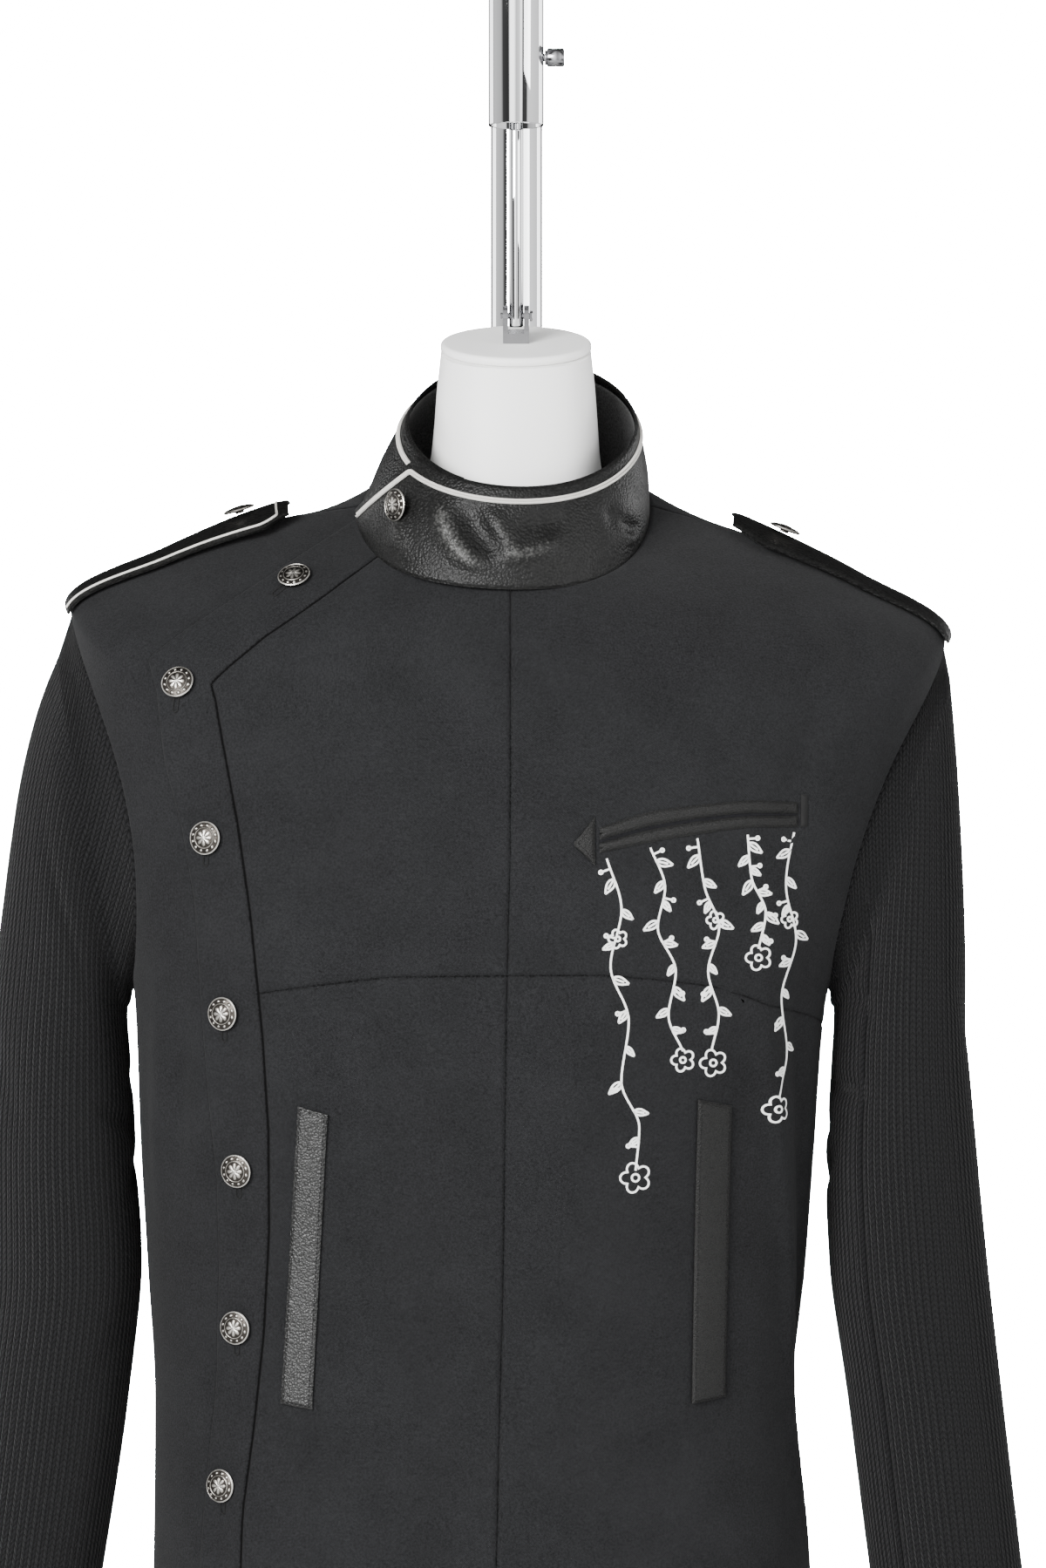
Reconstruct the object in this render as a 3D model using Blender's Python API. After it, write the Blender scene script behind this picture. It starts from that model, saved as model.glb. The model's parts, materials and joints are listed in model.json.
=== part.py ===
"""High-neck jacket on a limbless dress form, which hangs from a cane-shaped steel stand.

Metres in the scene, millimetres in the values below. X runs to the wearer's left, the front faces -Y, Z is up.
The neck's axis stands on x = 0, y = 0, and the floor is z = 0.
"""

import bpy
import numpy as np
from mathutils import Matrix, Vector

MM = 0.001

# Cloth and seams
CLOTH = 1.8
KNIT = 2.4
LEATHER = 1.6
SEAM_GAP = 0.3
LAP = CLOTH + 0.7
FULLNESS = 0.11

# The body of the jacket, as rings from the hem to the neck seam. A ring's place is its height at centre front.
BODY_COLUMNS = (
    "front_z", "front_y", "side_y", "left_z", "right_z", "back_z", "back_y",
    "left_x", "centre_x", "right_x", "ridge",
)
BODY_RINGS = np.array((
    (141, -117, 4, 141, 141, 141, 122, -212, -13, 172, 1.0),
    (226, -114, 4, 226, 226, 226, 119, -208, -11, 168, 1.0),
    (325, -108, 2, 325, 325, 325, 104, -207, -9, 160, 1.0),
    (400, -109, 0, 400, 400, 400, 93, -211, -7, 166, 1.0),
    (470, -117, 0, 470, 470, 472, 98, -215, -6, 171, 1.0),
    (548, -125, 0, 548, 548, 556, 110, -218, -5, 177, 1.3),
    (600, -124, 3, 630, 624, 622, 117, -232, -4, 204, 1.5),
    (645, -119, 7, 706, 695, 672, 120, -245, -3, 228, 1.6),
    (690, -112, 10, 776, 758, 722, 117, -256, -3, 247, 1.6),
    (725, -104, 12, 807, 793, 772, 106, -200, -3, 195, 1.5),
    (755, -95, 12, 827, 818, 818, 90, -143, -3, 137, 1.25),
    (784, -82, 10, 836, 836, 865, 66, -88, -3, 77, 1.0),
), float)
HEM, NECK = BODY_RINGS[0, 0], BODY_RINGS[-1, 0]

# The largest folds: angle and ring of both ends, bow, half width and height
FOLD_FADE = 2.1
BODY_RADIUS = 190.0
BODY_FOLDS = (
    (45, 575, 84, 235, 0, 11, 4.2),
    (57, 590, 97, 240, 0, 15, -5.0),
)

# Armholes: an oval from the underarm ring to the shoulder tip ring
UNDERARM, TIP = 558.0, 690.0
ARMHOLE_HALF = np.radians(27)

# Seams of the front, as x and z seen from the front
BAND_OUTER = np.array((
    (-90, 826), (-137, 793), (-185, 761), (-206, 745), (-200, 726), (-195, 687), (-185, 650), (-178, 611),
    (-174, 548), (-170, 496), (-166, 457), (-165, 404), (-167, 349), (-172, 295), (-176, 237), (-180, 141),
), float)
BAND_INNER = np.array((
    (-68, 809), (-107, 779), (-139, 757), (-161, 738), (-169, 730), (-166, 720), (-160, 689), (-153, 652),
    (-146, 605), (-139, 536), (-136, 484), (-136, 428), (-139, 371), (-145, 315), (-151, 270), (-155, 141),
), float)
CHEST_SEAM = np.array((
    (-150, 558), (-68, 569), (0, 570), (47, 570), (81, 567), (115, 562), (139, 552), (177, 536),
), float)
UNDERLAP = np.radians(7)
LAP_FADE = np.radians(24)

# Collar: a strip that goes once round the neck and laps over its own start at the wearer's right
COLLAR_RIM = {"left_x": -62, "right_x": 69, "front_y": -74, "back_y": 54, "front_z": 841, "back_z": 924}
COLLAR_LIFT, COLLAR_LAP, COLLAR_BULGE = 0.6, 4.4, 2.0
LAP_LIFT, LAP_PAST, LAP_RUN = 2.2, np.radians(6), np.radians(90)
COLLAR_END_BASE, COLLAR_END_RIM = np.radians(-84), np.radians(-57)
COLLAR_START = np.radians(330)
FACING, FACING_FOOT, FACING_TOP = 1.5, 0.02, 0.9
PIPING_WIDTH, PIPING_HEIGHT = 3.4, 2.2
PIPING_FOOT, PIPING_TOP = 0.04, 0.84
PIPING_INSET, PIPING_CORNER, PIPING_TAIL = np.radians(5), np.radians(8), np.radians(33)

# Folds of the collar: angle and share of its height at both ends, bow, half width and height
COLLAR_RADIUS, COLLAR_HEIGHT = 76.0, 66.0
COLLAR_FOLDS = (
    (-34, 0.72, -10, 0.10, 2.0, 6, 3.2),
    (-23, 0.76, -5, 0.30, 1.0, 7, -3.0),
    (-4, 0.27, 16, 0.42, 1.5, 6, 2.0),
    (41, 0.60, 62, 0.14, 1.5, 5, -3.2),
)

# Epaulettes: ring at the shoulder tip, ring at the free end, half width
EPAULETTES = {"right": (-1, 691.5, 762.0), "left": (1, 691.5, 762.0)}
STRAP_HALF, STRAP_THICK = 23.0, 3.4
STRAP_TAPER, TAPER_START = 0.35, 0.86
STRAP_REST, STRAP_SPRING = 1.3, 5.5
STRAP_BUTTON, BUTTON_OVER_STRAP = 0.8, 0.4
STRAP_PIPING_WIDTH, STRAP_PIPING_HEIGHT = 2.0, 1.4
STRAP_ROWS = np.array((0, 0.15, 0.3, 0.45, 0.6, 0.75, 0.86, 0.95, 1))

# Buttons on the band, as x and z, and the collar's button, as angle, share of the height and distance out
BUTTON_RADIUS, BUTTON_SEAT = 9.3, 0.05
BAND_BUTTONS = (
    (-124, 789), (-187, 730), (-170, 645), (-160, 548), (-153, 461), (-154, 373), (-163, 284), (-167, 192),
)
COLLAR_BUTTON = (np.radians(-52), 0.52, 1.5)

# Pockets: lower edge, then upper edge, as x and z. The jets are rows of x, top z and bottom z
WELTS = {
    "welt_right": (((-129, 332), (-112, 329)), ((-119, 498), (-103, 493))),
    "welt_left": (((97, 331), (116, 334)), ((100, 501), (119, 497))),
}
WELT_LOW, WELT_HIGH = 1.0, 3.0
TRIM_LOW, JET_HIGH, TAB_HIGH, TACK_HIGH = 0.4, 2.2, 2.0, 1.8
JET_UPPER = ((46, 651, 645), (75, 660, 653), (106, 664, 658), (133, 666, 660), (158, 665, 659))
JET_LOWER = ((46, 642, 637), (75, 649, 643), (106, 654, 648), (133, 656.5, 651), (158, 657, 651))
TAB = (((32, 641), (43.5, 630)), ((32, 643), (43.5, 657)))
TACK = (((159.5, 651), (163, 651)), ((159.5, 669), (163, 669)))

# Sleeves, as the outer and inner edges seen from the front, the middle's y and half the depth
SLEEVE_COLUMNS = ("outer_x", "outer_z", "inner_x", "inner_z", "mid_y", "half_y")
SLEEVES = {
    "sleeve_right": np.array((
        (-262, 750, -222, 549, 6, 55),
        (-273, 722, -224, 545, 6, 57),
        (-284, 678, -224, 538, 6, 59),
        (-293, 615, -222.5, 520, 6, 60),
        (-301, 540, -220, 488, 5, 60),
        (-304, 470, -218, 452, 3, 59),
        (-304, 400, -215, 400, 0, 57),
        (-312, 325, -222, 325, -5, 54),
        (-324, 225, -236, 228, -12, 49),
        (-336, 128, -252, 134, -18, 44),
    ), float),
    "sleeve_left": np.array((
        (249, 735, 181, 549, 6, 55),
        (251, 712, 183, 545, 6, 57),
        (254, 670, 183, 538, 6, 59),
        (257, 605, 182, 520, 6, 60),
        (259, 530, 180, 488, 5, 60),
        (264, 465, 178, 452, 3, 59),
        (270, 400, 180, 400, 0, 57),
        (278, 325, 190, 325, -5, 54),
        (289, 225, 202, 228, -12, 49),
        (300, 128, 216, 134, -18, 44),
    ), float),
}
ARMHOLE_CLEAR = 3.0
CAP_DEPTH = 6.0

# Dress form, in the body's columns, clear inside the cloth but for the shoulders, where the jacket rests
FORM_RINGS = np.array((
    (100, -92, 4, 100, 100, 100, 92, -162, -19, 124, 1.0),
    (122, -104, 4, 122, 122, 122, 107, -186, -19, 146, 1.0),
    (226, -103, 4, 226, 226, 226, 107, -194, -18, 154, 1.0),
    (325, -96, 2, 325, 325, 325, 91, -190, -18, 144, 1.0),
    (400, -96, 0, 400, 400, 400, 80, -194, -18, 148, 1.0),
    (470, -103, 0, 470, 470, 472, 85, -199, -17, 154, 1.0),
    (548, -110, 0, 548, 548, 556, 96, -202, -16, 160, 1.2),
    (600, -109, 2, 620, 616, 620, 102, -202, -15, 168, 1.4),
    (645, -104, 5, 690, 684, 668, 103, -200, -12, 172, 1.5),
    (690, -97, 8, 750, 742, 716, 99, -194, -8, 172, 1.5),
    (718, -90, 10, 789, 781, 764, 92, -176, -5, 160, 1.45),
    (738, -84, 11, 813, 804, 797, 84, -150, -3, 138, 1.35),
    (757, -76, 11, 828, 822.5, 820, 74, -120, -2, 112, 1.25),
    (775, -66, 11, 836, 833, 842, 64, -76, -1, 71, 1.1),
    (800, -57, 9, 846, 845, 853, 56, -57, 0, 55, 1.0),
    (820, -51, 6, 858, 857, 866, 53, -50, 0, 49, 1.0),
    (864, -44.5, 5, 880, 880, 895, 50, -47, 0, 47, 1.0),
    (886, -42, 5.5, 901, 901, 915, 49, -45.5, 0, 45.5, 1.0),
    (910, -37.3, 5, 923.8, 923.8, 937.6, 47.4, -43.2, 0, 43.2, 1.0),
), float)

# Stand
POLE_RADIUS, POLE_WALL, POLE_BACK = 16.0, 2.0, 208.0
POLE_END, BEND_START, BASE_THICK = 1052.5, 1200.0, 8.0
BASE_FRONT, BASE_BACK, BASE_HALF, BASE_CORNER = -150.0, 250.0, 170.0, 24.0
ROD_RADIUS, ROD_END, ROD_TOP = 4.0, 937.0, 1130.0
GUIDE_LOW, GUIDE_HIGH = 1076.0, 1108.0
KNOB_Z, KNOB_RADIUS, KNOB_LENGTH = 1091.7, 5.3, 10.0
SCREW_RADIUS, SCREW_END, NUT_RADIUS, KNOB_START = 2.2, 16.4, 4.2, 17.8
SOCKET_WALL, SOCKET_LENGTH, SLIDE_GAP = 5.0, 40.0, 0.4

# Hanger: the fork on the form's neck cap, and the pin that holds the rod in it
NECK_TILT = np.radians(18)
PIN_Z, PIN_RADIUS, PIN_HEAD = 943.5, 1.8, 3.0
CAP_RADIUS, CAP_THICK, CAP_BELOW_PIN = 43.5, 5.0, 15.0
FORK_RADIUS, FORK_HALF, FORK_INSIDE, FORK_SLOT = 6.0, 7.5, 4.6, 9.0


# Scene and materials

def clear_scene():
    """Removes every object that the file opened with."""
    for obj in list(bpy.data.objects):
        bpy.data.objects.remove(obj)


def principled(name, colour, roughness, metallic=0.0):
    """Material with one Principled shader."""
    material = bpy.data.materials.new(name)
    material.use_nodes = True
    shader = material.node_tree.nodes["Principled BSDF"]
    shader.inputs["Base Color"].default_value = (*colour, 1.0)
    shader.inputs["Roughness"].default_value = roughness
    shader.inputs["Metallic"].default_value = metallic
    return material


def make_object(name, points, faces, material):
    """One closed mesh object from points in millimetres."""
    mesh = bpy.data.meshes.new(name)
    mesh.from_pydata((np.asarray(points) * MM).tolist(), [], [list(face) for face in faces])
    mesh.materials.append(material)
    mesh.shade_smooth()
    mesh.set_sharp_from_angle(angle=np.radians(40))
    obj = bpy.data.objects.new(name, mesh)
    bpy.context.scene.collection.objects.link(obj)
    return obj


def move_origin(obj, place):
    """Moves an object's origin to a place in millimetres. Its points stay where they are."""
    place = Vector(place) * MM
    obj.data.transform(Matrix.Translation(-place))
    obj.location = place


# Grids of points

def smooth(at, knots, values):
    """Cubic curve through the knots, with slopes that never overshoot them."""
    width = np.diff(knots)
    rise = np.diff(values) / width
    before = 2 * width[1:] + width[:-1]
    after = width[1:] + 2 * width[:-1]
    same_way = rise[:-1] * rise[1:] > 0
    low = np.where(same_way, rise[:-1], 1)
    high = np.where(same_way, rise[1:], 1)
    inner = np.where(same_way, (before + after) / (before / low + after / high), 0)
    slope = np.concatenate([rise[:1], inner, rise[-1:]])
    k = np.clip(np.searchsorted(knots, at) - 1, 0, len(width) - 1)
    t = (at - knots[k]) / width[k]
    start = values[k] * (1 + 2 * t) * (1 - t) ** 2 + slope[k] * width[k] * t * (1 - t) ** 2
    end = values[k + 1] * t * t * (3 - 2 * t) - slope[k + 1] * width[k] * t * t * (1 - t)
    return start + end


def ease(t):
    """Smooth step from 0 to 1."""
    t = np.clip(t, 0, 1)
    return t * t * (3 - 2 * t)


def unit(vectors):
    """Each vector divided by its length."""
    return vectors / np.linalg.norm(vectors, axis=-1, keepdims=True)


def fold_height(x, y, folds):
    """Sum of soft folds at a place of a surface that is unrolled flat, x and y in millimetres.

    Each fold is a bell curve of the distance from its bowed line, and fades past the line's ends.
    """
    total = 0.0
    for start_x, start_y, end_x, end_y, bow, half_width, height in folds:
        line = np.array((end_x - start_x, end_y - start_y))
        length = np.hypot(*line)
        line = line / length
        along = ((x - start_x) * line[0] + (y - start_y) * line[1]) / length
        aside = (x - start_x) * line[1] - (y - start_y) * line[0] - bow * np.sin(np.pi * np.clip(along, 0, 1))
        fade = np.exp(-((FOLD_FADE * np.abs(along - 0.5)) ** 4))
        total = total + height * fade * np.exp(-((aside / half_width) ** 2))
    return total


def unrolled(folds, radius, rise=1.0):
    """Rows of folds with their angles in degrees turned to lengths, and their heights times rise."""
    rows = np.array(folds, float)
    rows[:, (0, 2)] = np.radians(rows[:, (0, 2)]) * radius
    rows[:, (1, 3)] *= rise
    return rows


def grid_normals(points, around=False):
    """Unit normals of a grid, columns crossed with rows.

    With around, the last column meets the first.
    """
    along = np.gradient(points, axis=0)
    if around:
        across = np.roll(points, -1, axis=1) - np.roll(points, 1, axis=1)
    else:
        across = np.gradient(points, axis=1)
    return unit(np.cross(across, along))


def grid_faces(rows, columns, around, first, outward):
    """Quads of a grid whose points are numbered row by row from first."""
    down = np.arange(rows - 1)[:, None]
    side = np.arange(columns if around else columns - 1)[None, :]
    here = down * columns + side
    right = down * columns + (side + 1) % columns
    quads = np.stack([here, right, right + columns, here + columns], -1).reshape(-1, 4) + first
    return quads if outward else quads[:, [0, 3, 2, 1]]


def halved(quads):
    """Two triangles for each quad, split from its first corner to its third."""
    return np.concatenate([quads[:, [0, 1, 2]], quads[:, [0, 2, 3]]])


def strip_faces(outer, inner, closed):
    """Quads between two equal lines of point numbers."""
    after = np.roll(outer, -1), np.roll(inner, -1)
    quads = np.stack([outer, inner, after[1], after[0]], -1)
    return quads if closed else quads[:-1]


def wall(name, outer, inner, material, around=False):
    """Closed wall between two grids of the same shape.

    Columns run anticlockwise seen from outside, and rows upwards. Both grids are split into triangles in the same
    way, so walls that follow each other at a small gap stay clear.
    """
    rows, columns = outer.shape[:2]
    count = rows * columns
    number = np.arange(count).reshape(rows, columns)
    faces = [grid_faces(rows, columns, around, 0, True), grid_faces(rows, columns, around, count, False)]
    faces.append(strip_faces(number[0], number[0] + count, around))
    faces.append(strip_faces(number[-1], number[-1] + count, around)[:, ::-1])
    if not around:
        faces.append(strip_faces(number[:, -1], number[:, -1] + count, False))
        faces.append(strip_faces(number[:, 0], number[:, 0] + count, False)[:, ::-1])
    points = np.concatenate([outer.reshape(-1, 3), inner.reshape(-1, 3)])
    return make_object(name, points, halved(np.concatenate(faces)), material)


def capped(name, rings, material):
    """Closed solid through rings of points, with a flat face on each end ring."""
    rows, columns = rings.shape[:2]
    faces = grid_faces(rows, columns, True, 0, True).tolist()
    faces.append(list(range(columns))[::-1])
    faces.append(list(range((rows - 1) * columns, rows * columns)))
    return make_object(name, rings.reshape(-1, 3), faces, material)


def turned(name, profile, sides, seat, axes, material):
    """Solid turned about its own axis from (radius, height) rows. axes holds its x, y and z directions."""
    angle = np.arange(sides) * 2 * np.pi / sides + np.pi / sides
    profile = np.array(profile, float)
    local = np.stack([
        profile[:, :1] * np.cos(angle),
        profile[:, :1] * np.sin(angle),
        np.repeat(profile[:, 1:], sides, axis=1),
    ], -1)
    return capped(name, local @ np.array(axes) + np.array(seat, float), material)


# Body of the jacket

def oval(value, angle):
    """Point of a ring, whose edges value gives by name. The angle is 0 at the front, a quarter turn at +X.

    Each ring is an oval whose corners stand FULLNESS proud, with its own front, side and back edges. Its height
    goes from the side's to the front's or back's as a power, ridge, of the way there.
    """
    sine, cosine = np.sin(angle), np.cos(angle)
    depth = np.abs(cosine) * (1 + FULLNESS * sine**2)
    centre_x, side_y = value("centre_x"), value("side_y")
    side_x = np.where(sine < 0, value("left_x"), value("right_x"))
    side_z = np.where(sine < 0, value("left_z"), value("right_z"))
    end_y = np.where(cosine > 0, value("front_y"), value("back_y"))
    end_z = np.where(cosine > 0, value("front_z"), value("back_z"))
    x = centre_x + (side_x - centre_x) * np.abs(sine) * (1 + FULLNESS * cosine**2)
    y = side_y + (end_y - side_y) * depth
    z = side_z + (end_z - side_z) * depth ** value("ridge")
    return np.stack(np.broadcast_arrays(x, y, z), -1)


def ring_value(name, ring):
    """A column of the body's table at any ring."""
    return smooth(ring, BODY_RINGS[:, 0], BODY_RINGS[:, BODY_COLUMNS.index(name)])


def body_point(angle, ring):
    """Point of the jacket's outside at an angle, on the ring of this height at centre front."""
    return oval(lambda name: ring_value(name, ring), angle)


def body_slopes(angle, ring):
    """Change of the body's point with the angle and with the ring."""
    turn, step = 0.04, 2.0
    low, high = np.clip(ring - step, HEM, NECK), np.clip(ring + step, HEM, NECK)
    by_angle = (body_point(angle + turn, ring) - body_point(angle - turn, ring)) / (2 * turn)
    by_ring = (body_point(angle, high) - body_point(angle, low)) / (high - low)[..., None]
    return by_angle, by_ring


def on_body(angle, ring, height=0.0):
    """Point at a height above the jacket's folded outside."""
    angle, ring = np.broadcast_arrays(np.asarray(angle, float), np.asarray(ring, float))
    normal = unit(np.cross(*body_slopes(angle, ring)))
    lift = height + fold_height(angle * BODY_RADIUS, ring, unrolled(BODY_FOLDS, BODY_RADIUS))
    return body_point(angle, ring) + normal * np.asarray(lift)[..., None]


def front_angle(x, ring):
    """Angle of the front's point with this x."""
    centre_x = ring_value("centre_x", ring)
    side_x = np.where(x < centre_x, ring_value("left_x", ring), ring_value("right_x", ring))
    share = np.clip((x - centre_x) / (side_x - centre_x), 0, 1)
    sine = share
    for _ in range(12):
        sine = share / (1 + FULLNESS - FULLNESS * sine**2)
    return np.arcsin(np.clip(sine, 0, 1)) * np.where(x < centre_x, -1, 1)


def locate(places):
    """Angle and ring of points of the front, given as rows of x and z. Found by halving."""
    x, z = np.array(places, float)[..., 0], np.array(places, float)[..., 1]
    low, high = np.full(x.shape, HEM), np.full(x.shape, NECK)
    for _ in range(40):
        middle = (low + high) / 2
        under = body_point(front_angle(x, middle), middle)[..., 2] < z
        low, high = np.where(under, middle, low), np.where(under, high, middle)
    return front_angle(x, low), low


def seam_by_ring(places):
    """A seam that runs up the front, as a function from ring to angle."""
    angle, ring = locate(places)
    order = np.argsort(ring)
    return lambda at: np.interp(at, ring[order], angle[order])


def armhole_half(ring):
    """Half the armhole's width, as an angle, at a ring."""
    share = (2 * ring - UNDERARM - TIP) / (TIP - UNDERARM)
    return ARMHOLE_HALF * np.sqrt(np.clip(1 - share**2, 0, 1))


def side_edge(side, half):
    """Side seam, armhole edge and shoulder seam in one, towards the front (half 1) or the back (half -1)."""
    return lambda ring: side * (np.pi / 2 - half * armhole_half(ring))


def panel_rings():
    """Rings for the rows of all panels, as those below, beside and above the armhole. They crowd at its ends."""
    beside = (UNDERARM + TIP) / 2 - (TIP - UNDERARM) / 2 * np.cos(np.linspace(0, np.pi, 9))
    return np.linspace(HEM, UNDERARM, 9)[:-1], beside, np.linspace(TIP, NECK, 7)[1:]


def panel(name, left, right, rings, columns, height, material, foot=None, head=None):
    """Wall between two edges that are functions of the ring.

    foot and head, functions of the angle, move its lower and upper end.
    """
    share = np.linspace(0, 1, columns)[None, :]
    climb = (rings - rings[0])[:, None] / (rings[-1] - rings[0])
    ends = []
    for end, seam in ((rings[0], foot), (rings[-1], head)):
        ring = np.full(share.shape, float(end))
        for _ in range(8 if seam else 0):
            ring = seam(left(ring) + share * (right(ring) - left(ring)))
        ends.append(ring)
    ring = ends[0] + climb * (ends[1] - ends[0])
    angle = left(ring) + share * (right(ring) - left(ring))
    by_angle, by_ring = body_slopes(angle, ring)
    inward, upward = np.zeros(ring.shape), np.zeros(ring.shape)
    inward[:, 0], inward[:, -1] = SEAM_GAP / 2, -SEAM_GAP / 2
    upward[0], upward[-1] = SEAM_GAP / 2, -SEAM_GAP / 2
    angle = angle + inward / np.linalg.norm(by_angle, axis=-1)
    ring = ring + upward / np.linalg.norm(by_ring, axis=-1)
    top = height(angle, ring)
    return wall(name, on_body(angle, ring, top), on_body(angle, ring, top - CLOTH), material)


def flat(angle, ring):
    """No height above the body."""
    return np.zeros(np.broadcast(angle, ring).shape)


def lap_height(band_inner):
    """Height of the lapped front: a full lap on the band, fading to none towards centre front."""
    return lambda angle, ring: LAP * (1 - ease((angle - band_inner(ring)) / LAP_FADE))


def jacket_panels(cloth, outer, inner):
    """Eight panels between the front's seams, the side and shoulder seams and centre back."""
    seam_angle, seam_ring = locate(CHEST_SEAM)
    lapped = lap_height(inner)
    right_front, left_front = side_edge(-1, 1), side_edge(1, 1)

    def chest(angle):
        return np.interp(angle, seam_angle, seam_ring)

    def turned_by(angle):
        return lambda ring: np.full(np.shape(ring), angle)

    def under_edge(ring):
        return outer(ring) + UNDERLAP * ease((NECK + 30 - ring) / 60)

    below, beside, above = panel_rings()
    whole = np.concatenate([below, beside, above])
    upper = np.concatenate([beside, above])
    side_foot = CHEST_SEAM[-1, 1]
    middle = turned_by(0.0)
    panel("front_right", right_front, under_edge, whole, 5, flat, cloth)
    panel("front_band", outer, inner, whole, 4, lapped, cloth)
    panel("plastron_upper", inner, middle, upper, 7, lapped, cloth, foot=chest)
    panel("plastron_lower", inner, middle, np.append(below, UNDERARM), 7, lapped, cloth, head=chest)
    panel("chest_left", middle, left_front, np.append(side_foot, upper), 18, flat, cloth, foot=chest)
    panel("front_lower_left", middle, left_front, np.linspace(HEM, side_foot, 13), 18, flat, cloth, head=chest)
    panel("back_left", side_edge(1, -1), turned_by(np.pi), whole, 8, flat, cloth)
    panel("back_right", turned_by(-np.pi), side_edge(-1, -1), whole, 8, flat, cloth)


# Sleeves

def armhole_loop(side, turn):
    """The armhole's edge, from the shoulder tip round by increasing turn."""
    ring = (UNDERARM + TIP) / 2 + (TIP - UNDERARM) / 2 * np.cos(turn)
    return body_point(side * np.pi / 2 + ARMHOLE_HALF * np.sin(turn), ring)


def sleeve_rings(rows, side, count, columns):
    """Rings of a sleeve from the cuff up: ovals between its outer and inner edges, then two inside the armhole."""
    turn = np.arange(columns) * 2 * np.pi / columns
    knots = np.arange(len(rows), dtype=float)
    at = np.linspace(0, len(rows) - 1, count)
    value = {name: smooth(at, knots, rows[:, i])[:, None] for i, name in enumerate(SLEEVE_COLUMNS)}
    cosine, sine = np.cos(turn)[None, :], np.sin(turn)[None, :]
    reach = cosine * (1 + FULLNESS * sine**2)
    x = (value["outer_x"] + value["inner_x"]) / 2 + (value["outer_x"] - value["inner_x"]) / 2 * reach
    y = value["mid_y"] + side * value["half_y"] * sine * (1 + FULLNESS * cosine**2)
    z = (value["outer_z"] + value["inner_z"]) / 2 + (value["outer_z"] - value["inner_z"]) / 2 * reach
    edge = armhole_loop(side, turn)
    edge = edge + unit(edge.mean(axis=0) - edge) * ARMHOLE_CLEAR
    inside = edge - np.array([side * CAP_DEPTH, 0, 0])
    return np.concatenate([np.stack([x, y, z], -1)[::-1], edge[None], inside[None]])


def sleeves(knit):
    """Both sleeves, as open tubes."""
    for name, rows in SLEEVES.items():
        side = np.sign(rows[0, 0])
        outer = sleeve_rings(rows, side, 18, 20)
        wall(name, outer, outer - grid_normals(outer, around=True) * KNIT, knit, around=True)


# Collar

def collar_end(share):
    """Angle of the top layer's end at a share of the collar's height."""
    return COLLAR_END_BASE + (COLLAR_END_RIM - COLLAR_END_BASE) * share


def collar_point(angle, share, out=0.0):
    """Point of the collar's outside, at a share of its height and a distance out from it.

    The base follows the neck seam and the rim is a tilted oval. The top layer stands out by COLLAR_LAP until it
    has passed the start of the strip below it, and then comes down to the neck seam.
    """
    lap = 1 - ease((angle - COLLAR_START + 2 * np.pi - LAP_PAST) / LAP_RUN)
    sine, cosine = np.sin(angle), np.cos(angle)
    base = body_point(angle, np.full(np.shape(angle), NECK))
    base[..., 2] += COLLAR_LIFT + LAP_LIFT * lap
    rim_x = (COLLAR_RIM["left_x"] + COLLAR_RIM["right_x"]) / 2
    half_x = (COLLAR_RIM["right_x"] - COLLAR_RIM["left_x"]) / 2
    mid_y = (COLLAR_RIM["front_y"] + COLLAR_RIM["back_y"]) / 2
    half_y = (COLLAR_RIM["back_y"] - COLLAR_RIM["front_y"]) / 2
    mid_z = (COLLAR_RIM["front_z"] + COLLAR_RIM["back_z"]) / 2
    half_z = (COLLAR_RIM["back_z"] - COLLAR_RIM["front_z"]) / 2
    rim = np.stack([rim_x + half_x * sine, mid_y - half_y * cosine, mid_z - half_z * cosine], -1)
    away = np.stack([sine, -cosine, np.zeros(np.shape(angle))], -1)
    folds = unrolled(COLLAR_FOLDS, COLLAR_RADIUS, COLLAR_HEIGHT)
    fold = fold_height(angle * COLLAR_RADIUS, share * COLLAR_HEIGHT, folds)
    fold = fold * ease(share * 5) * ease((1 - share) * 5)
    reach = (COLLAR_LAP * lap + COLLAR_BULGE * np.sin(np.pi * share) + fold + out)[..., None]
    return base + (rim - base) * np.asarray(share)[..., None] + away * reach


def collar_wall(name, rows, low, high, out, thickness, material):
    """Wall on the collar's surface between two shares of its height. Its columns crowd at the folded front."""
    share = np.clip(np.linspace(0, 1, rows), low, high)[:, None]
    end = collar_end(share)
    columns = np.concatenate([np.linspace(0, 0.37, 26), np.linspace(0.37, 1, 23)[1:]])[None, :]
    angle = end + columns * (COLLAR_START - end)
    outer, inner = (collar_point(angle, share + 0 * angle, out - depth) for depth in (0.0, thickness))
    return wall(name, outer, inner, material)


def swept(name, path, normals, section, material):
    """Solid along a path: the section's points are distances across the path and above the surface."""
    along = unit(np.gradient(path, axis=0))
    across = unit(np.cross(normals, along))
    above = np.cross(along, across)
    section = np.array(section, float)
    rings = path[:, None] + across[:, None] * section[None, :, :1] + above[:, None] * section[None, :, 1:]
    return capped(name, rings, material)


def bead(width, height):
    """Section of a half-round bead that stands SEAM_GAP clear of what it lies on."""
    half = width / 2
    return (
        (half, SEAM_GAP), (half * 0.8, height * 0.7), (0, height),
        (-half * 0.8, height * 0.7), (-half, SEAM_GAP),
    )


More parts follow.
